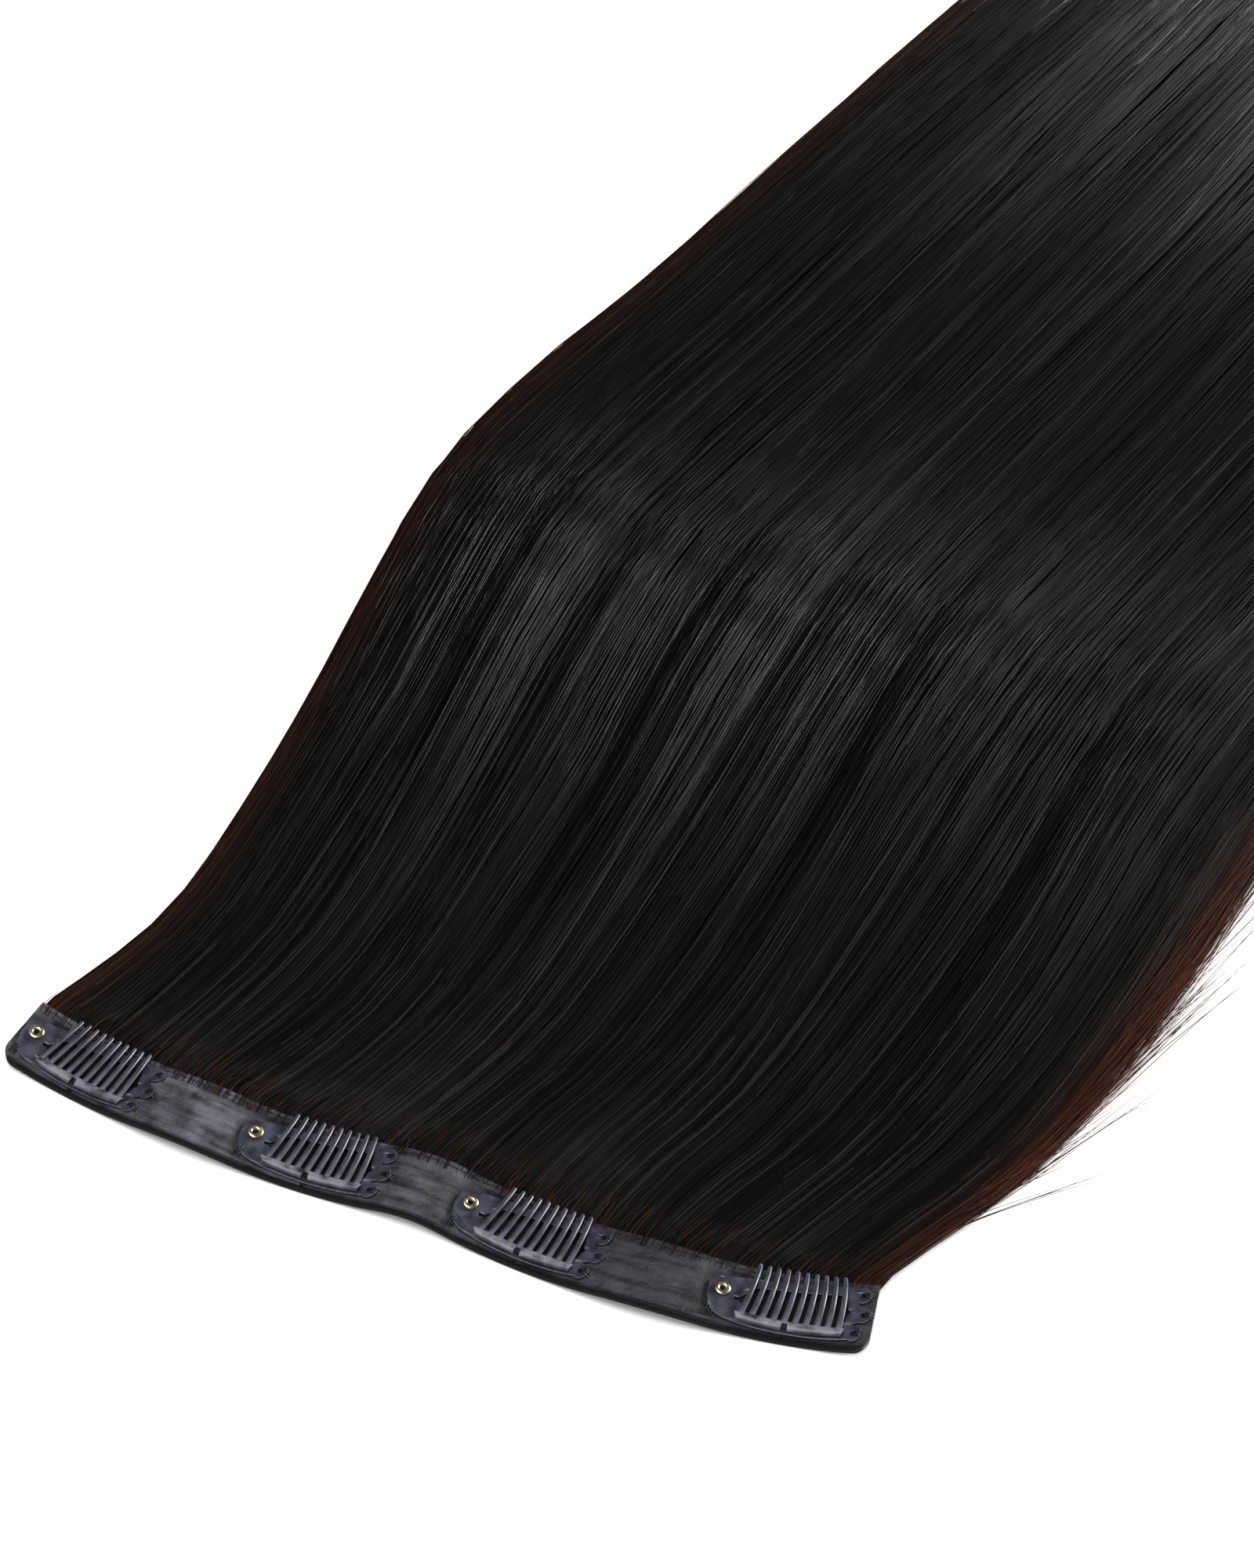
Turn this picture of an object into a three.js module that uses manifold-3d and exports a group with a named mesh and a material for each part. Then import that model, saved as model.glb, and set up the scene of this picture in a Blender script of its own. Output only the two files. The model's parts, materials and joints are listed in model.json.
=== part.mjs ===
// A clip in hair extension: one weft of long straight hair on a flat band with four snap comb clips.
// It lies on a flat surface. Millimetres and degrees, +Z up, the hair running away along +Y.
import * as THREE from 'three';
import { mergeVertices } from 'three/addons/utils/BufferGeometryUtils.js';
import Module from 'manifold-3d';

const wasm = await Module();
wasm.setup();

// Clearance between neighbouring pieces.
const GAP = 0.3;

// The band: a flat strip with a raised rim along its free edge.
const BAND_LENGTH = 203;
const BAND_WIDTH = 17;
const BAND_THICKNESS = 1.4;
const BAND_EDGE_ROUND = 0.4;
const BAND_CORNER = 4;
const RIM_WIDTH = 1.1;
const RIM_HEIGHT = 1.8;
const BAND_END_MARGIN = 0.5;
// How far the band curls up from the middle of a clip to the clip's ends.
const CLIP_BOW = 1.9;

// One snap clip: the stamped frame. It lies between the band's rim and the band's far edge.
const CLIP_LENGTH = 35;
const RIM_CLEARANCE = 0.4;
const CLIP_INSET = RIM_WIDTH + RIM_CLEARANCE;
const CLIP_FAR_MARGIN = 1.3;
const CLIP_WIDTH = BAND_WIDTH - CLIP_INSET - CLIP_FAR_MARGIN;
const PLATE = 0.5;
const LOWER_BAR = 2.6;
const UPPER_BAR = 2.2;
const WIDE_END = 4.6;
const LOBE_RADIUS = 2.1;
const SEWING_HOLE = 1.2;

// The eyelet that closes the narrow end, with the plate between it and the window.
const RIVET_INSET = 3.2;
const RIVET_DROP = 3.4;
const RIVET_LAND = 2.7;
const RIVET_FLANGE = 3.5;
const RIVET_SHANK = 2;
const RIVET_BORE = 1.2;
const RIVET_HEAD = 0.45;
const RIVET_SIDES = 14;

// The frame's window starts beside the rivet. It tapers over a run there, from a narrow point.
const WINDOW_START = RIVET_INSET + RIVET_LAND;
const WINDOW_END = CLIP_LENGTH - WIDE_END;
const WINDOW_TAPER = 5;
const WINDOW_FAR_TAPER = 1.7;
const WINDOW_POINT = 0.12;

// The comb: a root strip along the lower bar with curved teeth that close up towards their tips.
const TEETH = 10;
const FIRST_TOOTH = WINDOW_START + 2.1;
const LAST_TOOTH = WINDOW_END - 1.7;
const TIP_LEAN = 2.1;
const TIP_CLOSING = 2.7;
const TIP_REACH = 1.5;
const TOOTH_ROOT_WIDTH = 1.3;
const TOOTH_TIP_WIDTH = 0.85;
const TOOTH_BULGE = 0.5;
const TOOTH_ARCH = 0.9;
const ROOT_OVERHANG = 0.3;
const ROOT_STRIP = LOWER_BAR + ROOT_OVERHANG;
const ROOT_END = 1.2;
const ROOT_INSET = 0.5;
const TOOTH_LAP = 0.6;
const TOOTH_LENGTH = CLIP_WIDTH + TIP_REACH - ROOT_STRIP;

// The hair.
const HAIR_LENGTH = 480;
const HAIR_THICKNESS = 13;
const HAIR_ROOT_THICKNESS = 1.1;
// The run from the band over which the hair comes down to the surface, as a share of its length.
const HAIR_LANDING = 0.07;
// How far a lock laps onto its neighbour and how deep the groove between them is, as shares.
const LOCK_OVERLAP = 0.16;
const GROOVE = 0.28;
const LOCK_TIP_WIDTH = 0.3;
// How much thinner the hair is at its two sides, and how narrow those thin sides are.
const SIDE_THINNING = 0.8;
const SIDE_POWER = 5;

// Mesh fineness.
const BAND_COLUMNS = 40;
const LOCK_COLUMNS = 4;
const LOCK_ROWS = 15;
// Above 1, a lock's rows crowd towards the band.
const ROW_CROWDING = 1.3;
const PLATE_STEP = 3.2;
const COMB_ROWS = 5;
const OUTLINE_STEPS = 10;
const TOOTH_STEPS = 3;
// How far an uncut plate stands past the outline that it is cut to.
const CUT_MARGIN = 0.5;

// The clips along the band: the gap before each one, as a share of the band that the clips leave
// free, and the band's heading under it.
const CLIPS = [
  { gap: 0, heading: -8.8 },
  { gap: 0.37, heading: 1.9 },
  { gap: 0.23, heading: -3.4 },
  { gap: 0.4, heading: 10.5 },
];

// The frame's lower and upper edge, as shares of the clip's length and width.
const FRAME_EDGES = [
  { along: 0.01, low: 0.42, high: 0.65 },
  { along: 0.03, low: 0.24, high: 0.71 },
  { along: 0.08, low: 0.11, high: 0.77 },
  { along: 0.18, low: 0.045, high: 0.82 },
  { along: 0.34, low: 0.01, high: 0.87 },
  { along: 0.5, low: 0, high: 0.91 },
  { along: 0.66, low: 0.005, high: 0.94 },
  { along: 0.8, low: 0.025, high: 0.965 },
  { along: 0.9, low: 0.055, high: 0.985 },
];

// The three lobes of the wide end: how far each stops short of the clip's end, and its height.
const LOBES = [
  { short: 0.043, up: 0.17 },
  { short: 0.003, up: 0.5 },
  { short: 0.02, up: 0.84 },
];

// The hair's outline from root to tips, as shares of the hair's length, the band's length and the
// hair's thickness. It fans out, sways, dips in the middle and thins towards the tips.
const HAIR = [
  { along: 0.035, left: 0.05, right: 1.02, thick: 0.3 },
  { along: 0.08, left: 0.08, right: 1.075, thick: 0.52 },
  { along: 0.14, left: 0.09, right: 1.12, thick: 0.72 },
  { along: 0.22, left: 0.09, right: 1.16, thick: 0.92 },
  { along: 0.3, left: 0.08, right: 1.19, thick: 1 },
  { along: 0.38, left: 0.078, right: 1.23, thick: 0.88 },
  { along: 0.46, left: 0.115, right: 1.28, thick: 0.62 },
  { along: 0.54, left: 0.175, right: 1.33, thick: 0.66 },
  { along: 0.64, left: 0.245, right: 1.39, thick: 0.8 },
  { along: 0.76, left: 0.325, right: 1.445, thick: 0.72 },
  { along: 0.88, left: 0.41, right: 1.47, thick: 0.5 },
  { along: 1, left: 0.5, right: 1.46, thick: 0.2 },
];

// The locks: each one's width, as a share of the band, its length and height, as shares of the hair's
// length and thickness, and where it starts to part from its neighbours, as a share of its length.
const LOCKS = [
  { width: 0.125, length: 0.955, height: 0.96, part: 0.8 },
  { width: 0.1, length: 0.985, height: 1.05, part: 0.84 },
  { width: 0.12, length: 0.965, height: 0.97, part: 0.76 },
  { width: 0.095, length: 1, height: 1.06, part: 0.82 },
  { width: 0.125, length: 0.975, height: 0.95, part: 0.86 },
  { width: 0.105, length: 0.995, height: 1.04, part: 0.78 },
  { width: 0.12, length: 0.96, height: 0.96, part: 0.83 },
  { width: 0.1, length: 0.98, height: 1.05, part: 0.8 },
  { width: 0.11, length: 0.94, height: 0.94, part: 0.74 },
];

const radians = THREE.MathUtils.degToRad;
const smooth = (value) => THREE.MathUtils.smoothstep(value, 0, 1);
const mix = THREE.MathUtils.lerp;

// A table's column at a share along it, on a smooth curve through the rows.
function column(rows, name, share) {
  const last = rows.length - 1;
  let k = 0;
  while (k < last - 1 && rows[k + 1].along < share) {
    k += 1;
  }
  const slope = (n) => {
    const before = rows[Math.max(n - 1, 0)];
    const after = rows[Math.min(n + 1, last)];
    return (after[name] - before[name]) / (after.along - before.along);
  };
  const step = rows[k + 1].along - rows[k].along;
  const t = THREE.MathUtils.clamp((share - rows[k].along) / step, 0, 1);
  const start = rows[k][name];
  const end = rows[k + 1][name];
  const bend = (slope(k) * step - (end - start)) * (1 - t) - (slope(k + 1) * step - (end - start)) * t;
  return mix(start, end, t) + t * (1 - t) * bend;
}

// A closed sheet over a grid of cells: columns run along +X, rows along +Y.
function slab(columns, rows, top, bottom) {
  const points = [];
  for (const side of [top, bottom]) {
    for (let j = 0; j <= rows; j += 1) {
      for (let i = 0; i <= columns; i += 1) {
        points.push(...side(i / columns, j / rows));
      }
    }
  }
  const count = (columns + 1) * (rows + 1);
  const up = (i, j) => j * (columns + 1) + i;
  const down = (i, j) => count + up(i, j);
  const faces = [];
  const quad = (a, b, c, d) => faces.push(a, b, c, a, c, d);
  for (let j = 0; j < rows; j += 1) {
    for (let i = 0; i < columns; i += 1) {
      quad(up(i, j), up(i + 1, j), up(i + 1, j + 1), up(i, j + 1));
      quad(down(i, j), down(i, j + 1), down(i + 1, j + 1), down(i + 1, j));
    }
  }
  for (let i = 0; i < columns; i += 1) {
    quad(up(i + 1, 0), up(i, 0), down(i, 0), down(i + 1, 0));
    quad(up(i, rows), up(i + 1, rows), down(i + 1, rows), down(i, rows));
  }
  for (let j = 0; j < rows; j += 1) {
    quad(up(0, j), up(0, j + 1), down(0, j + 1), down(0, j));
    quad(up(columns, j + 1), up(columns, j), down(columns, j), down(columns, j + 1));
  }
  const geometry = new THREE.BufferGeometry();
  geometry.setAttribute('position', new THREE.Float32BufferAttribute(points, 3));
  geometry.setIndex(faces);
  return geometry;
}

// A closed geometry as a solid for joining and cutting, and a solid as a geometry again.
function solidOf(geometry) {
  const bare = geometry.clone();
  bare.deleteAttribute('normal');
  bare.deleteAttribute('uv');
  const merged = mergeVertices(bare);
  return new wasm.Manifold(new wasm.Mesh({
    numProp: 3,
    vertProperties: new Float32Array(merged.attributes.position.array),
    triVerts: new Uint32Array(merged.index.array),
  }));
}

function geometryOf(solid) {
  const mesh = solid.getMesh();
  const geometry = new THREE.BufferGeometry();
  geometry.setAttribute('position', new THREE.Float32BufferAttribute(mesh.vertProperties, 3));
  geometry.setIndex(Array.from(mesh.triVerts));
  return geometry;
}

// A flat outline as an upright prism, tall enough to pass through a bowed clip.
function prism(outline, curveSegments) {
  const depth = 4 * (CLIP_BOW + BAND_THICKNESS + PLATE);
  const geometry = new THREE.ExtrudeGeometry(outline, { depth, curveSegments, bevelEnabled: false });
  return solidOf(geometry.translate(0, 0, -depth / 4));
}

// The band's free edge, seen from above: straight under each clip, turning between clips.
const freeBand = BAND_LENGTH - 2 * BAND_END_MARGIN - CLIPS.length * CLIP_LENGTH;
const clipStarts = [];
CLIPS.forEach((clip, k) => {
  const before = k === 0 ? BAND_END_MARGIN : clipStarts[k - 1] + CLIP_LENGTH;
  clipStarts.push(before + clip.gap * freeBand);
});

function headingAt(s) {
  const last = CLIPS.length - 1;
  for (let k = 0; k < last; k += 1) {
    const turnEnd = clipStarts[k + 1];
    if (s < turnEnd) {
      const turnStart = clipStarts[k] + CLIP_LENGTH;
      const t = THREE.MathUtils.clamp((s - turnStart) / (turnEnd - turnStart), 0, 1);
      return radians(mix(CLIPS[k].heading, CLIPS[k + 1].heading, t));
    }
  }
  return radians(CLIPS[last].heading);
}

const EDGE_STEPS = 812;
const edge = [new THREE.Vector2(0, 0)];
for (let k = 0; k < EDGE_STEPS; k += 1) {
  const heading = headingAt((k + 0.5) * BAND_LENGTH / EDGE_STEPS);
  const step = new THREE.Vector2(Math.cos(heading), Math.sin(heading));
  edge.push(edge[k].clone().addScaledVector(step, BAND_LENGTH / EDGE_STEPS));
}

function edgeAt(s) {
  const place = THREE.MathUtils.clamp(s / BAND_LENGTH, 0, 1) * EDGE_STEPS;
  const k = Math.min(Math.floor(place), EDGE_STEPS - 1);
  return edge[k].clone().lerp(edge[k + 1], place - k);
}

// How high a clip curls at a place along it, and how high the band rises at a place along it:
// with each clip, and in one smooth hump between two clips.
function bowAt(x) {
  const half = CLIP_LENGTH / 2;
  return CLIP_BOW * ((x - half) / half) ** 2;
}

function bowSlopeAt(x) {
  return 8 * CLIP_BOW * (x - CLIP_LENGTH / 2) / CLIP_LENGTH ** 2;
}

function riseAt(s) {
  for (let k = 0; k < CLIPS.length; k += 1) {
    const x = s - clipStarts[k];
    const next = k + 1 < CLIPS.length ? clipStarts[k + 1] : BAND_LENGTH + CLIP_LENGTH;
    if (x <= CLIP_LENGTH) {
      return bowAt(x);
    }
    if (s < next) {
      const beyond = x - CLIP_LENGTH;
      const gap = next - clipStarts[k] - CLIP_LENGTH;
      return CLIP_BOW + bowSlopeAt(CLIP_LENGTH) * beyond * (1 - beyond / gap);
    }
  }
  return CLIP_BOW;
}

// A point on the band: along its free edge, across towards the hair, and up from its underside.
function bandPoint(s, across, up) {
  const foot = edgeAt(s);
  const heading = headingAt(s);
  return [foot.x - across * Math.sin(heading), foot.y + across * Math.cos(heading), riseAt(s) + up];
}

// Band.
function bandGeometry() {
  const section = [
    { across: 0, bottom: BAND_EDGE_ROUND, top: RIM_HEIGHT - BAND_EDGE_ROUND },
    { across: RIM_WIDTH / 2, bottom: 0, top: RIM_HEIGHT },
    { across: RIM_WIDTH, bottom: 0, top: BAND_THICKNESS },
    { across: BAND_CORNER, bottom: 0, top: BAND_THICKNESS },
    { across: BAND_WIDTH - BAND_EDGE_ROUND, bottom: 0, top: BAND_THICKNESS },
    { across: BAND_WIDTH, bottom: BAND_EDGE_ROUND, top: BAND_THICKNESS - BAND_EDGE_ROUND },
  ];
  const rows = section.length - 1;
  const side = (name) => (i, j) => {
    const row = section[Math.round(j * rows)];
    const short = Math.max(BAND_CORNER - row.across, 0);
    const inset = BAND_CORNER - Math.sqrt(BAND_CORNER ** 2 - short ** 2);
    return bandPoint(mix(inset, BAND_LENGTH - inset, i), row.across, row[name]);
  };
  return slab(BAND_COLUMNS, rows, side('top'), side('bottom'));
}

// Hair: each lock is a closed strip that starts at the band's far edge, and the locks are fused.
function hairPoint(u, t) {
  const root = bandPoint(u * BAND_LENGTH, BAND_WIDTH + GAP, 0);
  const rows = HAIR.map((row) => ({ along: row.along, x: mix(row.left, row.right, u) * BAND_LENGTH }));
  rows.unshift({ along: 0, x: root[0] });
  return { x: column(rows, 'x', t), y: root[1] + t * HAIR_LENGTH, rise: root[2] };
}

function hairThickness(u, t) {
  const rows = HAIR.map((row) => ({ along: row.along, thick: row.thick * HAIR_THICKNESS }));
  rows.unshift({ along: 0, thick: HAIR_ROOT_THICKNESS });
  const thick = column(rows, 'thick', t);
  const margin = Math.abs(2 * u - 1) ** SIDE_POWER;
  return mix(thick, Math.min(thick, HAIR_ROOT_THICKNESS), margin * SIDE_THINNING);
}

function lockGeometry(k) {
  const lock = LOCKS[k];
  const before = LOCKS.slice(0, k).reduce((sum, row) => sum + row.width, 0);
  const middle = before + lock.width / 2;
  const half = lock.width * (0.5 + LOCK_OVERLAP);
  const place = (i, j) => {
    const t = j ** ROW_CROWDING;
    const parted = Math.max(t - lock.part, 0) / (1 - lock.part);
    const across = (2 * i - 1) * half * mix(1, LOCK_TIP_WIDTH, parted ** 2);
    const u = THREE.MathUtils.clamp(middle + across, 0, 1);
    const point = hairPoint(u, t * lock.length);
    const landed = smooth(t / HAIR_LANDING);
    const bottom = point.rise * (1 - landed);
    const crown = 1 - GROOVE * landed * (2 * i - 1) ** 2;
    const thick = hairThickness(u, t * lock.length) * crown * mix(1, lock.height, landed);
    return { x: point.x, y: point.y, bottom, top: bottom + thick };
  };
  const side = (name) => (i, j) => {
    const spot = place(i, j);
    return [spot.x, spot.y, spot[name]];
  };
  return slab(LOCK_COLUMNS, LOCK_ROWS, side('top'), side('bottom'));
}

function hairGeometry() {
  let hair = solidOf(lockGeometry(0));
  for (let k = 1; k < LOCKS.length; k += 1) {
    hair = hair.add(solidOf(lockGeometry(k)));
  }
  return geometryOf(hair);
}

// Clip frame: a bowed plate cut to the clip's outline, with its window, rivet hole and sewing holes.
const frameLow = (x) => column(FRAME_EDGES, 'low', x / CLIP_LENGTH) * CLIP_WIDTH;
const frameHigh = (x) => column(FRAME_EDGES, 'high', x / CLIP_LENGTH) * CLIP_WIDTH;
const rivetUp = frameHigh(RIVET_INSET) - RIVET_DROP;

function bowedPlate(box, base, rows, arch) {
  const { left, right, low, high } = box;
  const side = (lift) => (i, j) => {
    const x = mix(left, right, i);
    const y = mix(low, high, j);
    return [x, y, base + bowAt(x) + lift + arch(y)];
  };
  const columns = Math.round((right - left) / PLATE_STEP);
  return solidOf(slab(columns, rows, side(PLATE), side(0)));
}

function frameOutline() {
  const outline = new THREE.Shape();
  const first = FRAME_EDGES[0].along * CLIP_LENGTH;
  const last = FRAME_EDGES[FRAME_EDGES.length - 1].along * CLIP_LENGTH;
  const place = (k) => mix(first, last, (k / OUTLINE_STEPS) ** 1.5);
  outline.moveTo(first, frameHigh(first));
  for (let k = 0; k <= OUTLINE_STEPS; k += 1) {
    outline.lineTo(place(k), frameLow(place(k)));
  }
  for (const lobe of LOBES) {
    const x = CLIP_LENGTH * (1 - lobe.short) - LOBE_RADIUS;
    outline.absarc(x, lobe.up * CLIP_WIDTH, LOBE_RADIUS, radians(-75), radians(75), false);
  }
  for (let k = OUTLINE_STEPS; k > 0; k -= 1) {
    outline.lineTo(place(k), frameHigh(place(k)));
  }
  return outline;
}

function windowOutline() {
  const place = (k) => mix(WINDOW_START, WINDOW_END, (1 - Math.cos(Math.PI * k / OUTLINE_STEPS)) / 2);
  const point = (k, sign) => {
    const x = place(k);
    const low = frameLow(x) + LOWER_BAR;
    const high = frameHigh(x) - UPPER_BAR;
    const open = smooth((x - WINDOW_START) / WINDOW_TAPER) * smooth((WINDOW_END - x) / WINDOW_FAR_TAPER);
    return new THREE.Vector2(x, (low + high) / 2 + sign * Math.max(open, WINDOW_POINT) * (high - low) / 2);
  };
  const points = [];
  for (let k = 0; k <= OUTLINE_STEPS; k += 1) {
    points.push(point(k, -1));
  }
  for (let k = OUTLINE_STEPS; k >= 0; k -= 1) {
    points.push(point(k, 1));
  }
  return new THREE.Path(points);
}

function roundHole(x, y, radius) {
  const hole = new THREE.Path();
  hole.absarc(x, y, radius, 0, 2 * Math.PI, false);
  return hole;
}

function frameGeometry() {
  const outline = frameOutline();
  outline.holes.push(windowOutline());
  outline.holes.push(roundHole(RIVET_INSET, rivetUp, RIVET_SHANK / 2 + GAP));
  for (const lobe of LOBES) {
    const x = CLIP_LENGTH * (1 - lobe.short) - LOBE_RADIUS;
    outline.holes.push(roundHole(x, lobe.up * CLIP_WIDTH, SEWING_HOLE / 2));
  }
  const box = {
    left: -CUT_MARGIN,
    right: CLIP_LENGTH + CUT_MARGIN,
    low: -CUT_MARGIN,
    high: CLIP_WIDTH + CUT_MARGIN,
  };
  const plate = bowedPlate(box, BAND_THICKNESS + GAP, 1, () => 0);
  return geometryOf(plate.intersect(prism(outline, 4)));
}

// Comb: a root strip over the lower bar, and teeth that lean together towards their tips.
function toothOutline(k) {
  const share = k / (TEETH - 1);
  const root = mix(FIRST_TOOTH, LAST_TOOTH, share);
  const tip = mix(FIRST_TOOTH + TIP_LEAN, LAST_TOOTH + TIP_LEAN - TIP_CLOSING, share);
  const foot = ROOT_STRIP - TOOTH_LAP;
  const end = ROOT_STRIP + TOOTH_LENGTH;
  const neck = end - TOOTH_TIP_WIDTH / 2;
  const point = (j, sign) => {
    const t = j / TOOTH_STEPS;
    const middle = mix(root, tip, t) + TOOTH_BULGE * 4 * t * (1 - t);
    const half = mix(TOOTH_ROOT_WIDTH, TOOTH_TIP_WIDTH, t) / 2;
    return new THREE.Vector2(middle + sign * half, mix(foot, neck, t));
  };
  const points = [];
  for (let j = 0; j <= TOOTH_STEPS; j += 1) {
    points.push(point(j, 1));
  }
  points.push(new THREE.Vector2(tip + TOOTH_TIP_WIDTH / 4, end));
  points.push(new THREE.Vector2(tip - TOOTH_TIP_WIDTH / 4, end));
  for (let j = TOOTH_STEPS; j >= 0; j -= 1) {
    points.push(point(j, -1));
  }
  return new THREE.Shape(points);
}

function rootOutline() {
  const start = FIRST_TOOTH - ROOT_END;
  const end = LAST_TOOTH + ROOT_END;
  const points = [new THREE.Vector2(start, ROOT_STRIP)];
  for (let k = 0; k <= OUTLINE_STEPS; k += 2) {
    const x = mix(start, end, k / OUTLINE_STEPS);
    points.push(new THREE.Vector2(x, frameLow(x) + ROOT_INSET));
  }
  points.push(new THREE.Vector2(end, ROOT_STRIP));
  return new THREE.Shape(points);
}

function combGeometry() {
  let outline = prism(rootOutline(), 1);
  for (let k = 0; k < TEETH; k += 1) {
    outline = outline.add(prism(toothOutline(k), 1));
  }
  const box = {
    left: FIRST_TOOTH - ROOT_END - CUT_MARGIN,
    right: LAST_TOOTH + ROOT_END + CUT_MARGIN,
    low: 0,
    high: ROOT_STRIP + TOOTH_LENGTH + CUT_MARGIN,
  };
  const arch = (y) => {
    const t = THREE.MathUtils.clamp((y - ROOT_STRIP) / TOOTH_LENGTH, 0, 1);
    return TOOTH_ARCH * Math.sin(Math.PI * t);
  };
  const plate = bowedPlate(box, BAND_THICKNESS + 2 * GAP + PLATE, COMB_ROWS, arch);
  return geometryOf(plate.intersect(outline));
}

// Rivet: a turned brass eyelet.
function rivetGeometry() {
  const bore = RIVET_BORE / 2;
  const shank = RIVET_SHANK / 2;
  const flange = RIVET_FLANGE / 2;
  const seat = PLATE + GAP;
  const profile = [
    [bore, 0],
    [shank, 0],
    [shank, seat],
    [flange, seat],
    [flange, seat + RIVET_HEAD / 2],
    [(bore + flange) / 2, seat + RIVET_HEAD],
    [bore, seat + RIVET_HEAD / 2],
    [bore, 0],
  ];
  const points = profile.map(([radius, height]) => new THREE.Vector2(radius, height));
  return new THREE.LatheGeometry(points, RIVET_SIDES).rotateX(Math.PI / 2);
}

// Materials, in the colours of the real finishes.
const bandSkin = new THREE.MeshStandardMaterial({ color: 0x3a3a40, roughness: 0.5, metalness: 0 });
const darkHair = new THREE.MeshStandardMaterial({ color: 0x151416, roughness: 0.45, metalness: 0 });
const clipPaint = new THREE.MeshStandardMaterial({ color: 0x3c3c4a, roughness: 0.42, metalness: 0.3 });
const brass = new THREE.MeshStandardMaterial({ color: 0xcdbb7e, roughness: 0.3, metalness: 1 });

function piece(name, geometry, material) {
  const mesh = new THREE.Mesh(geometry, material);
  mesh.name = name;
  return mesh;
}

// Assembly.
const weft = new THREE.Group();
weft.add(piece('weft_band', bandGeometry(), bandSkin));
weft.add(piece('hair', hairGeometry(), darkHair));

const frame = frameGeometry();
const comb = combGeometry();
const rivet = rivetGeometry();
CLIPS.forEach((row, k) => {
  const [x, y] = bandPoint(clipStarts[k], CLIP_INSET, 0);
  const clip = new THREE.Group();
  clip.position.set(x, y, 0);
  clip.rotation.z = radians(row.heading);
  const name = `clip_${k + 1}`;
  clip.add(piece(`${name}_frame`, frame, clipPaint));
  clip.add(piece(`${name}_comb`, comb, clipPaint));
  const eyelet = piece(`${name}_rivet`, rivet, brass);
  eyelet.position.set(RIVET_INSET, rivetUp, BAND_THICKNESS + GAP + bowAt(RIVET_INSET));
  eyelet.rotation.y = -Math.atan(bowSlopeAt(RIVET_INSET));
  clip.add(eyelet);
  weft.add(clip);
});

// The origin is the middle of the underside of the whole part.
const extent = new THREE.Box3().setFromObject(weft, true);
const middle = extent.getCenter(new THREE.Vector3());
weft.position.set(-middle.x, -middle.y, -extent.min.z);
const part = new THREE.Group();
part.add(weft);

export default part;
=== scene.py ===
import json
import math

import bmesh
import bpy
import numpy as np
from mathutils import Matrix, Vector, noise


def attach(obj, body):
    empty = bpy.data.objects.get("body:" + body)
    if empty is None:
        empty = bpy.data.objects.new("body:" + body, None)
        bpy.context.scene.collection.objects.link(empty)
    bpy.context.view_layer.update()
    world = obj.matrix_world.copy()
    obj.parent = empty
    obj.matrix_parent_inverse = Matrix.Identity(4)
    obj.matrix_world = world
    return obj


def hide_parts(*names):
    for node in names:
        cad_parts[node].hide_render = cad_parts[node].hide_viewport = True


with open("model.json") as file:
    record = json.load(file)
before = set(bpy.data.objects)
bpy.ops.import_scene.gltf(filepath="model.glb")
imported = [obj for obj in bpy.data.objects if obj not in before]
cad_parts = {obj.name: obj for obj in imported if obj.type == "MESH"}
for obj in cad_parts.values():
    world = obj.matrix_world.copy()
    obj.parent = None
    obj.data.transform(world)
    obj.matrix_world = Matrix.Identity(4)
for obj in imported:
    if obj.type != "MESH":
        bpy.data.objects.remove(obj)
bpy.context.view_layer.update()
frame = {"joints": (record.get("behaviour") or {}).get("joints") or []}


# The band is a strip of woven tape, 203 by 17 mm, with a soft dark coating that creases lengthwise.
# A black hem is rolled along its free edge and the hair is sewn in along the other edge.
# The four sprung clips that are sewn on it curl it up under their ends.
MM = 0.001
GAP = 0.3
BAND_LENGTH = 203
BAND_WIDTH = 17
BAND_THICKNESS = 1.4
BAND_EDGE_ROUND = 0.4
BAND_CORNER = 4
BAND_END_MARGIN = 0.5
BAND_COLUMNS = 401
HEM_WIDTH = 1.1
HEM_SIDE = 0.75
HEM_ROUND = 0.55
HEM_HEIGHT = 1.8
CLIP_LENGTH = 35
CLIP_BOW = 1.9
CLIP_INSET = HEM_WIDTH + 0.4
HINGE_ACROSS = 0.5

# Creases in the coating: height, length, width and seed. The sharp ones are ridges, the soft are not.
SOFT_CREASE = (0.12, 11, 3, 3)
SHARP_CREASES = [(0.16, 5, 2.2, 8), (0.09, 2.1, 1.1, 12)]
HEM_LUMP = (0.05, 1.7, 5)

# The coating's looks: lengthwise streaks, blots, crumples, and threads drawn twice as wide as real.
STREAK_LENGTH = 14
STREAK_WIDTH = 2.2
BLOT_SIZE = 6
CRUMPLE_SIZE = 1.6
DRAWN_THREAD = 0.6
COATING_DARK = 0x18181A
COATING_PALE = 0x505058
HEM_COLOUR = 0x040405
CLIP_SHADE_COLOUR = 0x070708

# The clips: the gap before each one, as a share of the band that the clips leave free.
CLIP_GAPS = [0, 0.37, 0.23, 0.4]
clips = range(len(CLIP_GAPS))

hinges = {joint["child"]: joint for joint in frame["joints"]}
clip_hinges = [hinges[f"comb_{k + 1}"] for k in clips]
clip_headings = [math.atan2(hinge["axis"][1], hinge["axis"][0]) for hinge in clip_hinges]

free_band = BAND_LENGTH - 2 * BAND_END_MARGIN - len(clips) * CLIP_LENGTH
clip_starts = BAND_END_MARGIN + free_band * np.cumsum(CLIP_GAPS) + CLIP_LENGTH * np.arange(len(clips))

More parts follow.
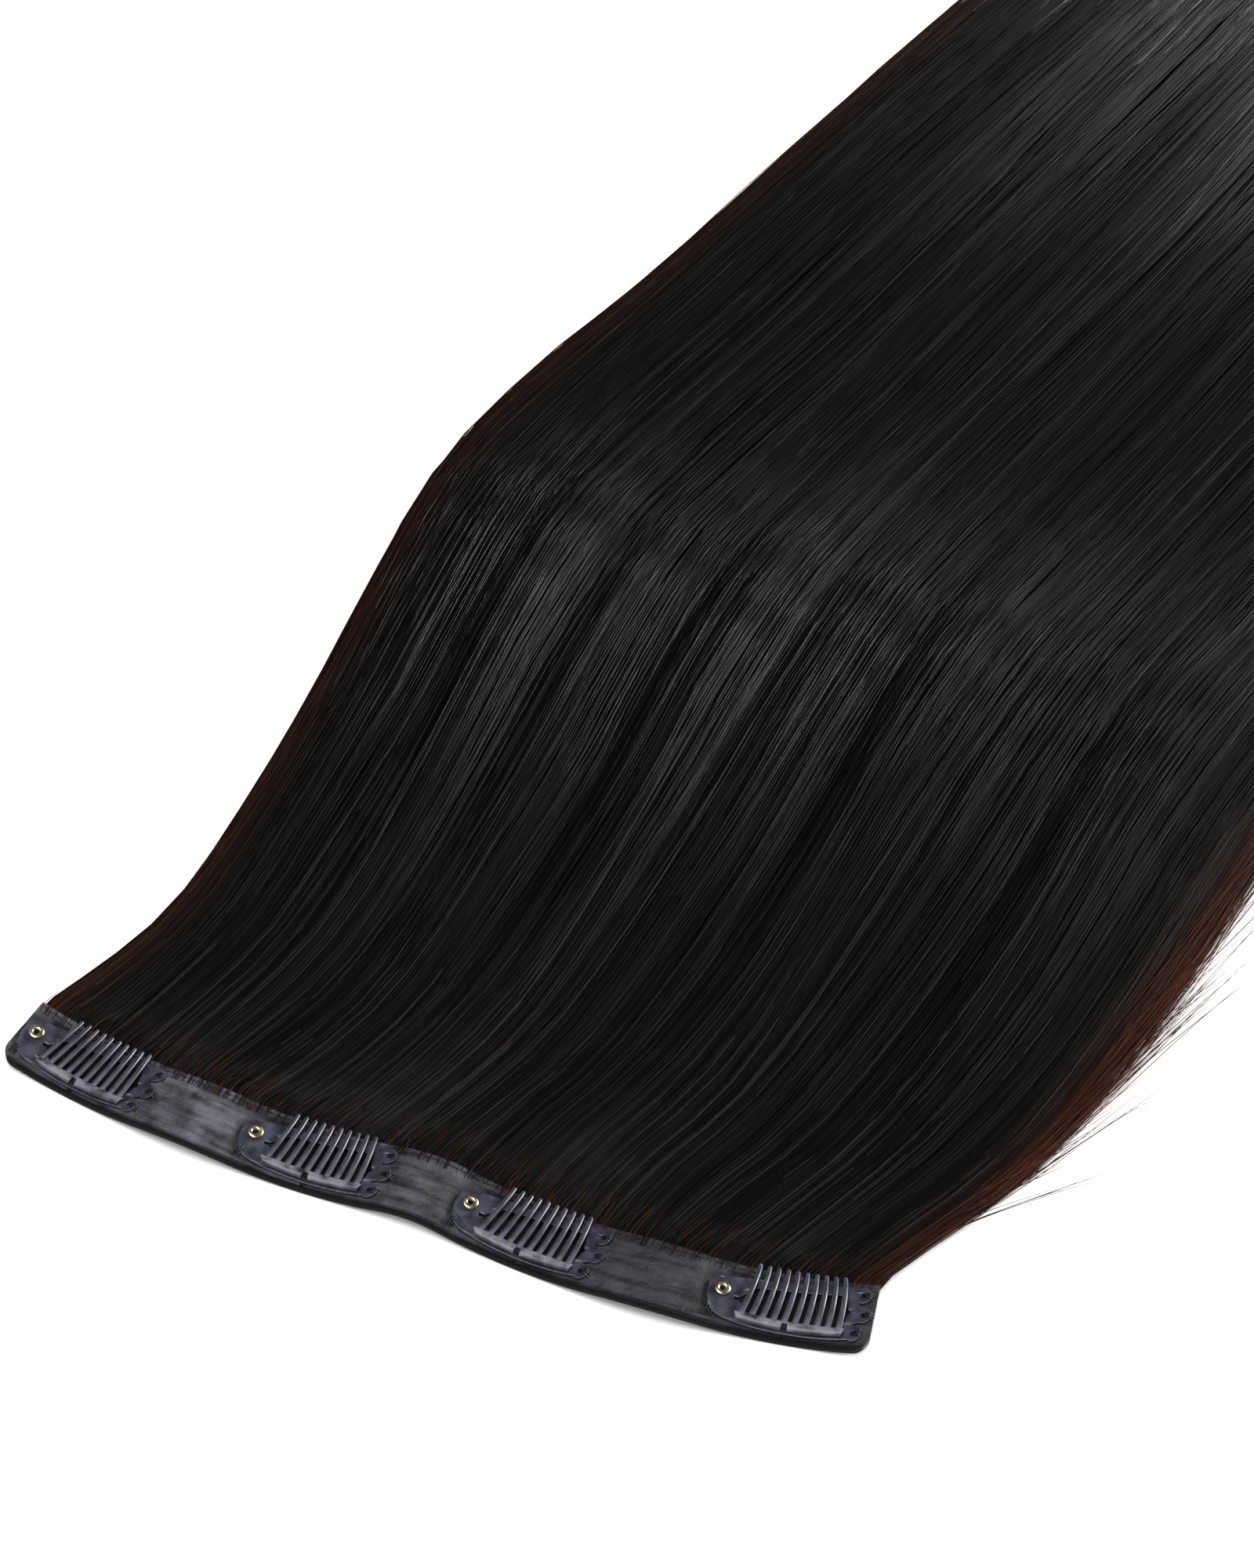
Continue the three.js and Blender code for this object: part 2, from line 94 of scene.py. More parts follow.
# The band runs straight under each clip and turns evenly between clips.
turn_places = np.ravel([(start, start + CLIP_LENGTH) for start in clip_starts])
turn_headings = np.repeat(clip_headings, 2)
EDGE_STEPS = 812
edge_places = np.linspace(0, BAND_LENGTH, EDGE_STEPS + 1)
step_headings = np.interp((edge_places[1:] + edge_places[:-1]) / 2, turn_places, turn_headings)
edge_step = BAND_LENGTH / EDGE_STEPS
edge_x = np.append(0, np.cumsum(np.cos(step_headings)) * edge_step)
edge_y = np.append(0, np.cumsum(np.sin(step_headings)) * edge_step)


def rise_at(s):
    """How high the band curls: with each clip, and in one smooth hump between two clips."""
    half = CLIP_LENGTH / 2
    end_slope = 2 * CLIP_BOW / half
    rise = np.full(np.shape(s), float(CLIP_BOW))
    for k, start in enumerate(clip_starts):
        x = s - start
        on_clip = (x >= 0) & (x <= CLIP_LENGTH)
        rise = np.where(on_clip, CLIP_BOW * ((x - half) / half) ** 2, rise)
        if k + 1 < len(clip_starts):
            gap = clip_starts[k + 1] - start - CLIP_LENGTH
            beyond = x - CLIP_LENGTH
            between = (beyond > 0) & (beyond < gap)
            rise = np.where(between, CLIP_BOW + end_slope * beyond * (1 - beyond / gap), rise)
    start_bow = CLIP_BOW * ((s - clip_starts[0] - half) / half) ** 2
    return np.where(s < clip_starts[0], start_bow, rise)


def band_point(s, across, up):
    """A point on the band: along its free edge, across towards the hair, and up from its underside."""
    s, across, up = np.broadcast_arrays(np.asarray(s, float), across, up)
    heading = np.interp(s, turn_places, turn_headings)
    x = np.interp(s, edge_places, edge_x) - across * np.sin(heading)
    y = np.interp(s, edge_places, edge_y) + across * np.cos(heading)
    return np.stack([x, y, rise_at(s) + up], axis=-1) + band_start


# The first clip's hinge says where the band starts.
band_start = np.zeros(3)
hinge_point = band_point(clip_starts[0] + CLIP_LENGTH / 2, CLIP_INSET + HINGE_ACROSS, 0)
band_start = np.array(clip_hinges[0]["pos_m"]) / MM - hinge_point
band_start[2] = 0


def wavy(across, along, seed):
    """Soft noise from -1 to 1 at each pair of places in two arrays."""
    across, along = np.broadcast_arrays(across, along)
    values = [noise.noise(Vector((x, y, seed))) for x, y in zip(across.ravel(), along.ravel())]
    return np.reshape(values, across.shape)


def placed(name, data):
    """Puts a mesh, a curve, a lamp or a camera in the scene as an object."""
    piece = bpy.data.objects.new(name, data)
    bpy.context.collection.objects.link(piece)
    return piece


def new_mesh(name, points, faces, uv=None):
    """A smooth mesh object from points in millimetres, with its own map of the surface."""
    mesh = bpy.data.meshes.new(name)
    mesh.from_pydata((np.asarray(points) * MM).tolist(), [], np.asarray(faces).tolist())
    if uv is not None:
        corners = np.zeros(len(mesh.loops), int)
        mesh.loops.foreach_get("vertex_index", corners)
        mesh.uv_layers.new(name="lay").uv.foreach_set("vector", uv[corners].ravel())
    mesh.shade_smooth()
    mesh.set_sharp_from_angle(angle=math.radians(50))
    return placed(name, mesh)


def keep_numbers(mesh, name, numbers):
    """Stores a number with each point of a mesh, for node trees to read by this name."""
    layer = mesh.attributes.new(name, "FLOAT", "POINT")
    layer.data.foreach_set("value", np.asarray(numbers, np.float32).ravel())


def slab_faces(rows, columns):
    """The faces of a closed sheet whose top and bottom are grids of the same size."""
    top = np.arange(rows * columns).reshape(rows, columns)
    quads = np.stack([top[:-1, :-1], top[:-1, 1:], top[1:, 1:], top[1:, :-1]], axis=-1).reshape(-1, 4)
    under = quads[:, ::-1] + rows * columns
    rim = np.concatenate([top[0, :-1], top[:-1, -1], top[-1, :0:-1], top[:0:-1, 0]])
    after = np.roll(rim, -1)
    wall = np.stack([rim + rows * columns, after + rows * columns, after, rim], axis=-1)
    return np.concatenate([quads, under, wall])


def fill(tree, node, inputs):
    """Fills a node's inputs, by their names or in their order, with values or from other nodes."""
    sockets = [socket for socket in node.inputs if socket.enabled]
    if isinstance(inputs, dict):
        sockets = [next(socket for socket in sockets if socket.name == name) for name in inputs]
        inputs = inputs.values()
    for socket, value in zip(sockets, inputs):
        if isinstance(value, bpy.types.Node):
            value = next(output for output in value.outputs if output.enabled)
        if isinstance(value, bpy.types.NodeSocket):
            tree.links.new(value, socket)
        else:
            socket.default_value = value


def add(tree, kind, inputs=(), **settings):
    """Adds a node with its settings and links."""
    node = tree.nodes.new(kind)
    for name, value in settings.items():
        setattr(node, name, value)
    fill(tree, node, inputs)
    return node


MATH = "ShaderNodeMath"
MIX = "ShaderNodeMix"
RANGE = "ShaderNodeMapRange"
NOISE = "ShaderNodeTexNoise"
SPLIT = "ShaderNodeSeparateXYZ"


def linear(colour):
    """An sRGB hex colour as the linear numbers that a shader takes."""
    parts = [((colour >> shift) & 255) / 255 for shift in (16, 8, 0)]
    return [p / 12.92 if p <= 0.04045 else ((p + 0.055) / 1.055) ** 2.4 for p in parts] + [1]


def new_material(name, values):
    """A material with its shader, whose even values are set on the shader's own sockets."""
    material = bpy.data.materials.new(name)
    material.use_nodes = True
    shader = material.node_tree.nodes["Principled BSDF"]
    fill(material.node_tree, shader, values)
    return material, material.node_tree, shader


def coated_tape():
    """Polyurethane-coated polyester tape: a soft sheen in lengthwise streaks over a fine weave."""
    material, tree, shader = new_material("coated_tape", {"Specular IOR Level": 0.3})
    lay = add(tree, "ShaderNodeUVMap", uv_map="lay")
    place = add(tree, SPLIT, {"Vector": lay}).outputs
    streak_scale = (BAND_LENGTH / STREAK_LENGTH, BAND_LENGTH / STREAK_WIDTH, 1)
    streak_map = add(tree, "ShaderNodeMapping", {"Vector": lay, "Scale": streak_scale})
    streaks = add(tree, NOISE, {"Vector": streak_map, "Scale": 1, "Detail": 4, "Roughness": 0.6})
    blots = add(tree, NOISE, {"Vector": lay, "Scale": BAND_LENGTH / BLOT_SIZE, "Detail": 3})
    tones = add(tree, MATH, (streaks, blots), operation="MULTIPLY")
    contrast = add(tree, RANGE, (tones, 0.14, 0.4))
    # Painted light: the coating is drawn paler near the band's start and darker towards its other end, where
    # less light falls.
    painted_light = add(tree, RANGE, (place["X"], 0.25, 0.8, 1.15, 0.3))
    contrast = add(tree, MATH, (contrast, painted_light), operation="MULTIPLY")
    colour = add(tree, MIX, (contrast, linear(COATING_DARK), linear(COATING_PALE)), data_type="RGBA")
    on_hem = add(tree, MATH, (place["Y"], 1.05 * HEM_WIDTH / BAND_LENGTH), operation="LESS_THAN")
    colour = add(tree, MIX, (on_hem, colour, linear(HEM_COLOUR)), data_type="RGBA")
    # Painted shade: the coating is drawn black under each clip and round its eyelet, where the clip's shade
    # falls, and matt there too.
    clip_shade = add(tree, "ShaderNodeAttribute", attribute_name="clip_shade").outputs["Fac"]
    colour = add(tree, MIX, (clip_shade, colour, linear(CLIP_SHADE_COLOUR)), data_type="RGBA")
    gloss = add(tree, RANGE, (streaks, 0.35, 0.65, 0.34, 0.56))
    matt = add(tree, MATH, (on_hem, clip_shade), operation="MAXIMUM")
    finish = add(tree, MIX, (matt, gloss, 0.85))
    # The weave's threads are 0.3 mm apart. They are drawn at 0.6 mm so that the picture shows them.
    thread_map = add(tree, "ShaderNodeMapping", {"Vector": lay, "Scale": (BAND_LENGTH / DRAWN_THREAD,) * 3})
    weave = add(tree, "ShaderNodeTexChecker", {"Vector": thread_map, "Scale": 1}).outputs["Fac"]
    bump = add(tree, "ShaderNodeBump", {"Height": weave, "Distance": 0.03 * MM, "Strength": 0.25})
    crumple = add(tree, NOISE, {"Vector": lay, "Scale": BAND_LENGTH / CRUMPLE_SIZE, "Detail": 3,
                                "Distortion": 0.6})
    crumple = add(tree, MATH, (crumple, 0.5), operation="SUBTRACT")
    crumple = add(tree, MATH, (crumple,), operation="ABSOLUTE")
    bump = add(tree, "ShaderNodeBump", {"Height": crumple, "Distance": 0.5 * MM, "Strength": 0.8,
                                        "Normal": bump}, invert=True)
    bump = add(tree, "ShaderNodeBump", {"Height": streaks, "Distance": 0.4 * MM, "Strength": 0.8,
                                        "Normal": bump})
    fill(tree, shader, {"Base Color": colour, "Roughness": finish, "Normal": bump})
    return material


def clip_shade_share(s, across):
    """Painted shade of the clips on the coating: 1 under a clip, less round its eyelet."""
    clip_shade = np.zeros(s.shape)
    for start in clip_starts:
        from_end = np.minimum(s - start, start + CLIP_LENGTH - s)
        clip_shade = np.maximum(clip_shade, np.clip((from_end - 2.5) / 2, 0, 1))
        from_eyelet = np.hypot(s - start - 2, (across - 9) / 1.6)
        clip_shade = np.maximum(clip_shade, 1.6 * np.clip(1 - from_eyelet / 4.2, 0, 0.5))
    from_hem = np.clip(across - CLIP_INSET - 0.5, 0, 1)
    return clip_shade * from_hem * np.clip(BAND_WIDTH - 1.5 - across, 0, 1)


def band():
    """The tape as a closed sheet with a rolled hem, rounded edges and lengthwise creases."""
    hem_rows = HEM_WIDTH * (1 - np.cos(np.linspace(0, math.pi, 11))) / 2
    flat_rows = np.linspace(HEM_WIDTH, BAND_WIDTH - BAND_EDGE_ROUND, 36)[1:]
    edge_rows = BAND_WIDTH - BAND_EDGE_ROUND * (1 - np.sin(np.linspace(0, math.pi / 2, 5)[1:]))
    across = np.concatenate([hem_rows, flat_rows, edge_rows])[:, None]
    bead = 1 - (2 * across / HEM_WIDTH - 1) ** 2
    bead = HEM_SIDE + (HEM_HEIGHT - HEM_SIDE) * np.sqrt(np.clip(bead, 0, 1))
    coat = BAND_THICKNESS * np.clip((across - 0.85 * HEM_WIDTH) / 0.3, 0, 1)
    near_side = np.clip(1 - across / HEM_ROUND, 0, 1)
    far_side = np.clip(1 - (BAND_WIDTH - across) / BAND_EDGE_ROUND, 0, 1)
    rounding = BAND_EDGE_ROUND * (1 - np.sqrt(1 - far_side ** 2))
    high = np.where(across <= HEM_WIDTH, np.maximum(bead, coat), coat) - rounding
    low = HEM_ROUND * (1 - np.sqrt(1 - near_side ** 2)) + rounding
    short = np.clip(BAND_CORNER - across, 0, None)
    inset = BAND_CORNER - np.sqrt(BAND_CORNER ** 2 - short ** 2)
    s = inset + (BAND_LENGTH - 2 * inset) * np.linspace(0, 1, BAND_COLUMNS)[None, :]
    across = np.broadcast_to(across, s.shape)

    height, length, width, seed = SOFT_CREASE
    creases = height * wavy(s / length, across / width, seed)
    for height, length, width, seed in SHARP_CREASES:
        creases += height * (0.3 - np.abs(wavy(s / length, across / width, seed)))
    on_coat = np.clip((across - HEM_WIDTH) / 2, 0, 1) * np.clip((BAND_WIDTH - across) / 1.5, 0, 1)
    height, length, seed = HEM_LUMP
    lumps = height * wavy(s / length, across, seed) * (across < HEM_WIDTH)
    top = band_point(s, across, high + creases * on_coat + lumps)
    bottom = band_point(s, across, low)
    points = np.concatenate([top.reshape(-1, 3), bottom.reshape(-1, 3)])
    lay = (np.stack([s, across], -1) / BAND_LENGTH).reshape(-1, 2)
    piece = new_mesh("band", points, slab_faces(*s.shape), np.concatenate([lay, lay]))
    # Stores the painted shade under the clips, for the tape's material to darken.
    keep_numbers(piece.data, "clip_shade", [clip_shade_share(s, across)] * 2)
    return piece


band_piece = band()
band_piece.data.materials.append(coated_tape())
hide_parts("weft_band")
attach(band_piece, "weft")


# The hair is straight, near-black human hair, 480 mm long, machine-sewn into the band's far edge.
# It fans out, sways, and lies in nine soft locks with ragged tips. This first piece is the packed
# hair inside the locks, a little lower than the strands that lie over it.
HAIR_LENGTH = 480
HAIR_THICKNESS = 13
HAIR_ROOT_THICKNESS = 1.1
HAIR_LANDING = 0.07
LOCK_OVERLAP = 0.16
GROOVE = 0.28
LOCK_TIP_WIDTH = 0.3
SIDE_THINNING = 0.8
SIDE_POWER = 5

# The hair's outline, as shares of its length, the band's length and the hair's thickness.
ALONG = [0, 0.035, 0.08, 0.14, 0.22, 0.3, 0.38, 0.46, 0.54, 0.64, 0.76, 0.88, 1]
LEFT = [0.05, 0.08, 0.09, 0.09, 0.08, 0.078, 0.115, 0.175, 0.245, 0.325, 0.41, 0.5]
RIGHT = [1.02, 1.075, 1.12, 1.16, 1.19, 1.23, 1.28, 1.33, 1.39, 1.445, 1.47, 1.46]
THICK = [0.3, 0.52, 0.72, 0.92, 1, 0.88, 0.62, 0.66, 0.8, 0.72, 0.5, 0.2]

# The locks, left to right: width as a share of the band, length and height as shares of the
# hair's, and where each starts to part from its neighbours, as a share of its length.
LOCK_WIDTH = np.array([0.125, 0.1, 0.12, 0.095, 0.125, 0.105, 0.12, 0.1, 0.11])
LOCK_LENGTH = np.array([0.955, 0.985, 0.965, 1, 0.975, 0.995, 0.96, 0.98, 0.94])
LOCK_HEIGHT = np.array([0.96, 1.05, 0.97, 1.06, 0.95, 1.04, 0.96, 1.05, 0.94])
LOCK_PART = np.array([0.8, 0.84, 0.76, 0.82, 0.86, 0.78, 0.83, 0.8, 0.74])
lock_middle = np.cumsum(LOCK_WIDTH) - LOCK_WIDTH / 2
lock_reach = LOCK_WIDTH * (0.5 + LOCK_OVERLAP)

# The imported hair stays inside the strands: lower, thinner, shorter, and fading before its end.
CORE_COLUMNS = 9
CORE_ROWS = 56
CORE_CROWDING = 1.3
CORE_LOWERED = 0.4
CORE_THINNED = 0.17
CORE_END = 0.93
CORE_FADE_FROM = 0.88
CORE_TIP_WIDTH = 0.12
CORE_TIP_THICKNESS = 0.1
CORE_MARGIN = 0.012
CORE_LIFT = 0.05
CORE_LEAST = 0.15
CORE_STREAK = 0.8


def smooth(share):
    """A soft step from 0 to 1."""
    share = np.clip(share, 0, 1)
    return share * share * (3 - 2 * share)


def through(places, values, at):
    """A smooth curve through a table's values."""
    places = np.asarray(places, float)
    values = np.asarray(values, float)
    last = len(places) - 1
    before = np.maximum(np.arange(last + 1) - 1, 0)
    after = np.minimum(np.arange(last + 1) + 1, last)
    slope = (values[after] - values[before]) / (places[after] - places[before])
    k = np.clip(np.searchsorted(places[1:], at), 0, last - 1)
    step = places[k + 1] - places[k]
    t = np.clip((at - places[k]) / step, 0, 1)
    run = values[k + 1] - values[k]
    bend = (slope[k] * step - run) * (1 - t) - (slope[k + 1] * step - run) * t
    return values[k] + run * t + t * (1 - t) * bend


def hair_lay(u, along):
    """Where the hair lies: across it from 0 to 1 and along it from root to tip, and its thickness."""
    root = band_point(u * BAND_LENGTH, BAND_WIDTH + GAP, 0)
    shares = [through(ALONG, unit, along) for unit in np.eye(len(ALONG))]
    x = shares[0] * (root[..., 0] - band_start[0])
    thick = shares[0] * HAIR_ROOT_THICKNESS
    for share, left, right, thickness in zip(shares[1:], LEFT, RIGHT, THICK):
        x = x + share * (left + (right - left) * u) * BAND_LENGTH
        thick = thick + share * thickness * HAIR_THICKNESS
    margin = np.abs(2 * u - 1) ** SIDE_POWER
    thick = thick + (np.minimum(thick, HAIR_ROOT_THICKNESS) - thick) * margin * SIDE_THINNING
    return x + band_start[0], root[..., 1] + along * HAIR_LENGTH, root[..., 2], thick


def hair_core():
    """Nine closed locks, each a crowned strip that narrows to its own tip."""
    i = np.linspace(-1, 1, CORE_COLUMNS)[None, :]
    t = (np.linspace(0, 1, CORE_ROWS) ** CORE_CROWDING)[:, None]
    fading = 1 - smooth((t - CORE_FADE_FROM) / (1 - CORE_FADE_FROM))
    landed = smooth(t / HAIR_LANDING)
    points, faces, uv = [], [], []
    for k, middle in enumerate(lock_middle):
        parted = np.clip((t - LOCK_PART[k]) / (1 - LOCK_PART[k]), 0, 1)
        half = lock_reach[k] * (1 + (LOCK_TIP_WIDTH - 1) * parted ** 2)
        half = half * (CORE_TIP_WIDTH + (1 - CORE_TIP_WIDTH) * fading)
        u = np.clip(middle + i * half, CORE_MARGIN, 1 - CORE_MARGIN)
        x, y, rise, thick = hair_lay(u, t * LOCK_LENGTH[k] * CORE_END)
        thick = thick * (CORE_TIP_THICKNESS + (1 - CORE_TIP_THICKNESS) * fading)
        bottom = rise * (1 - landed) + CORE_LIFT
        crown = (1 - GROOVE * landed * i ** 2) * (1 + (LOCK_HEIGHT[k] - 1) * landed)
        crown = crown * (1 - CORE_THINNED * landed)
        top = np.maximum(bottom + thick * crown - CORE_LOWERED, bottom + CORE_LEAST * thick)
        faces.append(slab_faces(*x.shape) + sum(len(p) for p in points))
        points.append(np.concatenate([np.stack(np.broadcast_arrays(x, y, z), -1).reshape(-1, 3)
                                      for z in (top, bottom)]))
        lay = np.stack(np.broadcast_arrays(u, t), -1).reshape(-1, 2)
        uv.append(np.concatenate([lay, lay]))
    return new_mesh("hair_core", np.concatenate(points), np.concatenate(faces), np.concatenate(uv))


def packed_hair():
    """Packed hair: fine lengthwise streaks, darker than the strands, so that it reads as depth."""
    material, tree, shader = new_material("packed_hair", {"IOR": 1.55, "Specular IOR Level": 0.2})
    lay = add(tree, "ShaderNodeUVMap", uv_map="lay")
    # Streaks 0.8 mm wide stand for the hairs, which are 0.07 mm thick.
    streak_map = add(tree, "ShaderNodeMapping", {"Vector": lay, "Scale": (BAND_LENGTH / CORE_STREAK, 9, 1)})
    streaks = add(tree, NOISE, {"Vector": streak_map, "Scale": 1, "Detail": 3, "Roughness": 0.7})
    colour = add(tree, MIX, (streaks, linear(0x040404), linear(0x121111)), data_type="RGBA")
    bump = add(tree, "ShaderNodeBump", {"Height": streaks, "Distance": 0.6 * MM, "Strength": 0.8})
    fill(tree, shader, {"Base Color": colour, "Normal": bump})
    return material


core_piece = hair_core()
core_piece.data.materials.append(packed_hair())
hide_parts("hair")
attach(core_piece, "weft")


# The strands are the hair that shows. Each stands for a few hairs that cling together, is swept
# along the lay of the hair, and gathers with its neighbours into narrow wisps. They start inside
# the band's sewn edge and end raggedly. Stray hairs stand off along the right side.
GUIDE_COLUMNS = 201
GUIDE_ROWS = 141
ROOT_LEAD = 0.006
CROWN_SMOOTHING = 6
STRAND_TIP_WIDTH = 0.66
STRAND_CROWDING = 1.4
STORE = "GeometryNodeStoreNamedAttribute"
READ = "GeometryNodeInputNamedAttribute"
SAMPLE = "GeometryNodeSampleUVSurface"
CHANCE = "FunctionNodeRandomValue"
PLACE = "ShaderNodeCombineXYZ"

# How a strand moves: the part of the way at which it starts to close in on its lock, how much more
# it gathers at its tip, how many sways lie across the hair and along it, and how a stray hair curls.
PART_DELAY = 0.45
TIP_GATHERING = 0.4
SWAYS = (9, 2.5)
WANDERS = (977, 5)
LOOSE_BY = 0.15
STRAY_CURL = 1.6
STRAY_LIFT = 0.15
DEPTH_WANDER = 0.06
TIP_GIRTH = 0.35

# Ridges in the hair's surface: height, how many lie across it and along it, and seed.
RIDGES = [(0.1, 24, 2.6, 4), (0.06, 58, 4, 7)]

# All sizes that a strand follows. Shares are of the hair's breadth, length or thickness.
STRAND_SIZES = {
    "Strands": 1000, "Steps": 26, "Seed": 0, "Lowest": 0.9, "Highest": 1.0, "First": 0.002, "Last": 0.998,
    "Width": 0.32 * MM, "Shortest": 0.95, "Longest": 1.0, "Raggedness": 0.025, "Wisps": 120,
    "Gathering": 0.45, "Sway": 0.035, "Wander": 0.02, "Inmost": -1.0, "Stray": 0.0,
}


def hair_guide():
    """The hair's upper surface, with all that a strand has to know about the place it lies in."""
    across = np.linspace(0, 1, GUIDE_COLUMNS)[None, :]
    share = np.linspace(0, 1, GUIDE_ROWS)[:, None]
    along = share * (1 + ROOT_LEAD) - ROOT_LEAD
    held = np.clip(along, 0, 1)
    x, y, rise, thick = hair_lay(across, held)
    y = y + (along - held) * HAIR_LENGTH
    landed = smooth(held / HAIR_LANDING)
    crown = np.zeros(x.shape)
    for middle, reach, height in zip(lock_middle, lock_reach, LOCK_HEIGHT):
        off = (across - middle) / reach
        lock = (1 - GROOVE * landed * off ** 2) * (1 + (height - 1) * landed)
        crown = np.maximum(crown, np.where(np.abs(off) <= 1, lock, 0))
    for _ in range(CROWN_SMOOTHING):
        edges = np.pad(crown, ((0, 0), (1, 1)), mode="edge")
        crown = (edges[:, :-2] + 2 * crown + edges[:, 2:]) / 4
    drifted = across + 0.02 * (0.4 * np.sin(held * 5))
    ridges = sum(height * wavy(drifted * many, held * pace, seed) for height, many, pace, seed in RIDGES)
    bottom = np.broadcast_to(rise * (1 - landed), x.shape)
    top = bottom + thick * crown * (1 + ridges * landed)
    lock = np.clip(np.searchsorted(np.cumsum(LOCK_WIDTH), across[0]), 0, len(LOCK_WIDTH) - 1)
    grid = np.arange(x.size).reshape(x.shape)
    faces = np.stack([grid[:-1, :-1], grid[:-1, 1:], grid[1:, 1:], grid[1:, :-1]], -1).reshape(-1, 4)
    uv = np.stack(np.broadcast_arrays(across, share), -1).reshape(-1, 2)
    guide = new_mesh("hair_guide", np.stack([x, y, top], -1).reshape(-1, 3), faces, uv)
    keep_numbers(guide.data, "bottom", bottom * MM)
    known = {"middle": lock_middle, "half": LOCK_WIDTH / 2, "end": LOCK_LENGTH, "part": LOCK_PART}
    for name, numbers in known.items():
        keep_numbers(guide.data, "lock_" + name, np.broadcast_to(numbers[lock], x.shape))
    return guide


def new_tree(name, source, sizes):
    """A node tree that turns a mesh into a piece, with these named sizes and a material."""
    tree = bpy.data.node_groups.new(name, "GeometryNodeTree")
    tree.interface.new_socket(source, in_out="INPUT", socket_type="NodeSocketGeometry")
    for size, value in sizes.items():
        kind = "NodeSocketInt" if isinstance(value, int) else "NodeSocketFloat"
        tree.interface.new_socket(size, in_out="INPUT", socket_type=kind)
    tree.interface.new_socket("Material", in_out="INPUT", socket_type="NodeSocketMaterial")
    tree.interface.new_socket("Geometry", in_out="OUTPUT", socket_type="NodeSocketGeometry")
    return tree, add(tree, "NodeGroupInput").outputs


def straight_curves(tree, roots, points_each):
    """A straight curve at each root, and how far along it each of its points is, from 0 to 1."""
    line = add(tree, "GeometryNodeCurvePrimitiveLine", {"Start": (0, 0, 0), "End": (1, 0, 0)})
    line = add(tree, "GeometryNodeResampleCurve", {"Curve": line, "Count": points_each})
    curves = add(tree, "GeometryNodeInstanceOnPoints", {"Points": roots, "Instance": line})
    curves = add(tree, "GeometryNodeRealizeInstances", {"Geometry": curves})
    place = add(tree, SPLIT, {"Vector": add(tree, "GeometryNodeInputPosition")})
    return curves, place.outputs["X"]


def end_tree(tree, mesh, given):
    """Ends a tree with plain faces in the piece's material."""
    mesh = add(tree, "GeometryNodeRealizeInstances", {"Geometry": mesh})
    mesh = add(tree, "GeometryNodeSetMaterial", {"Geometry": mesh, "Material": given["Material"]})
    add(tree, "NodeGroupOutput", {"Geometry": mesh})


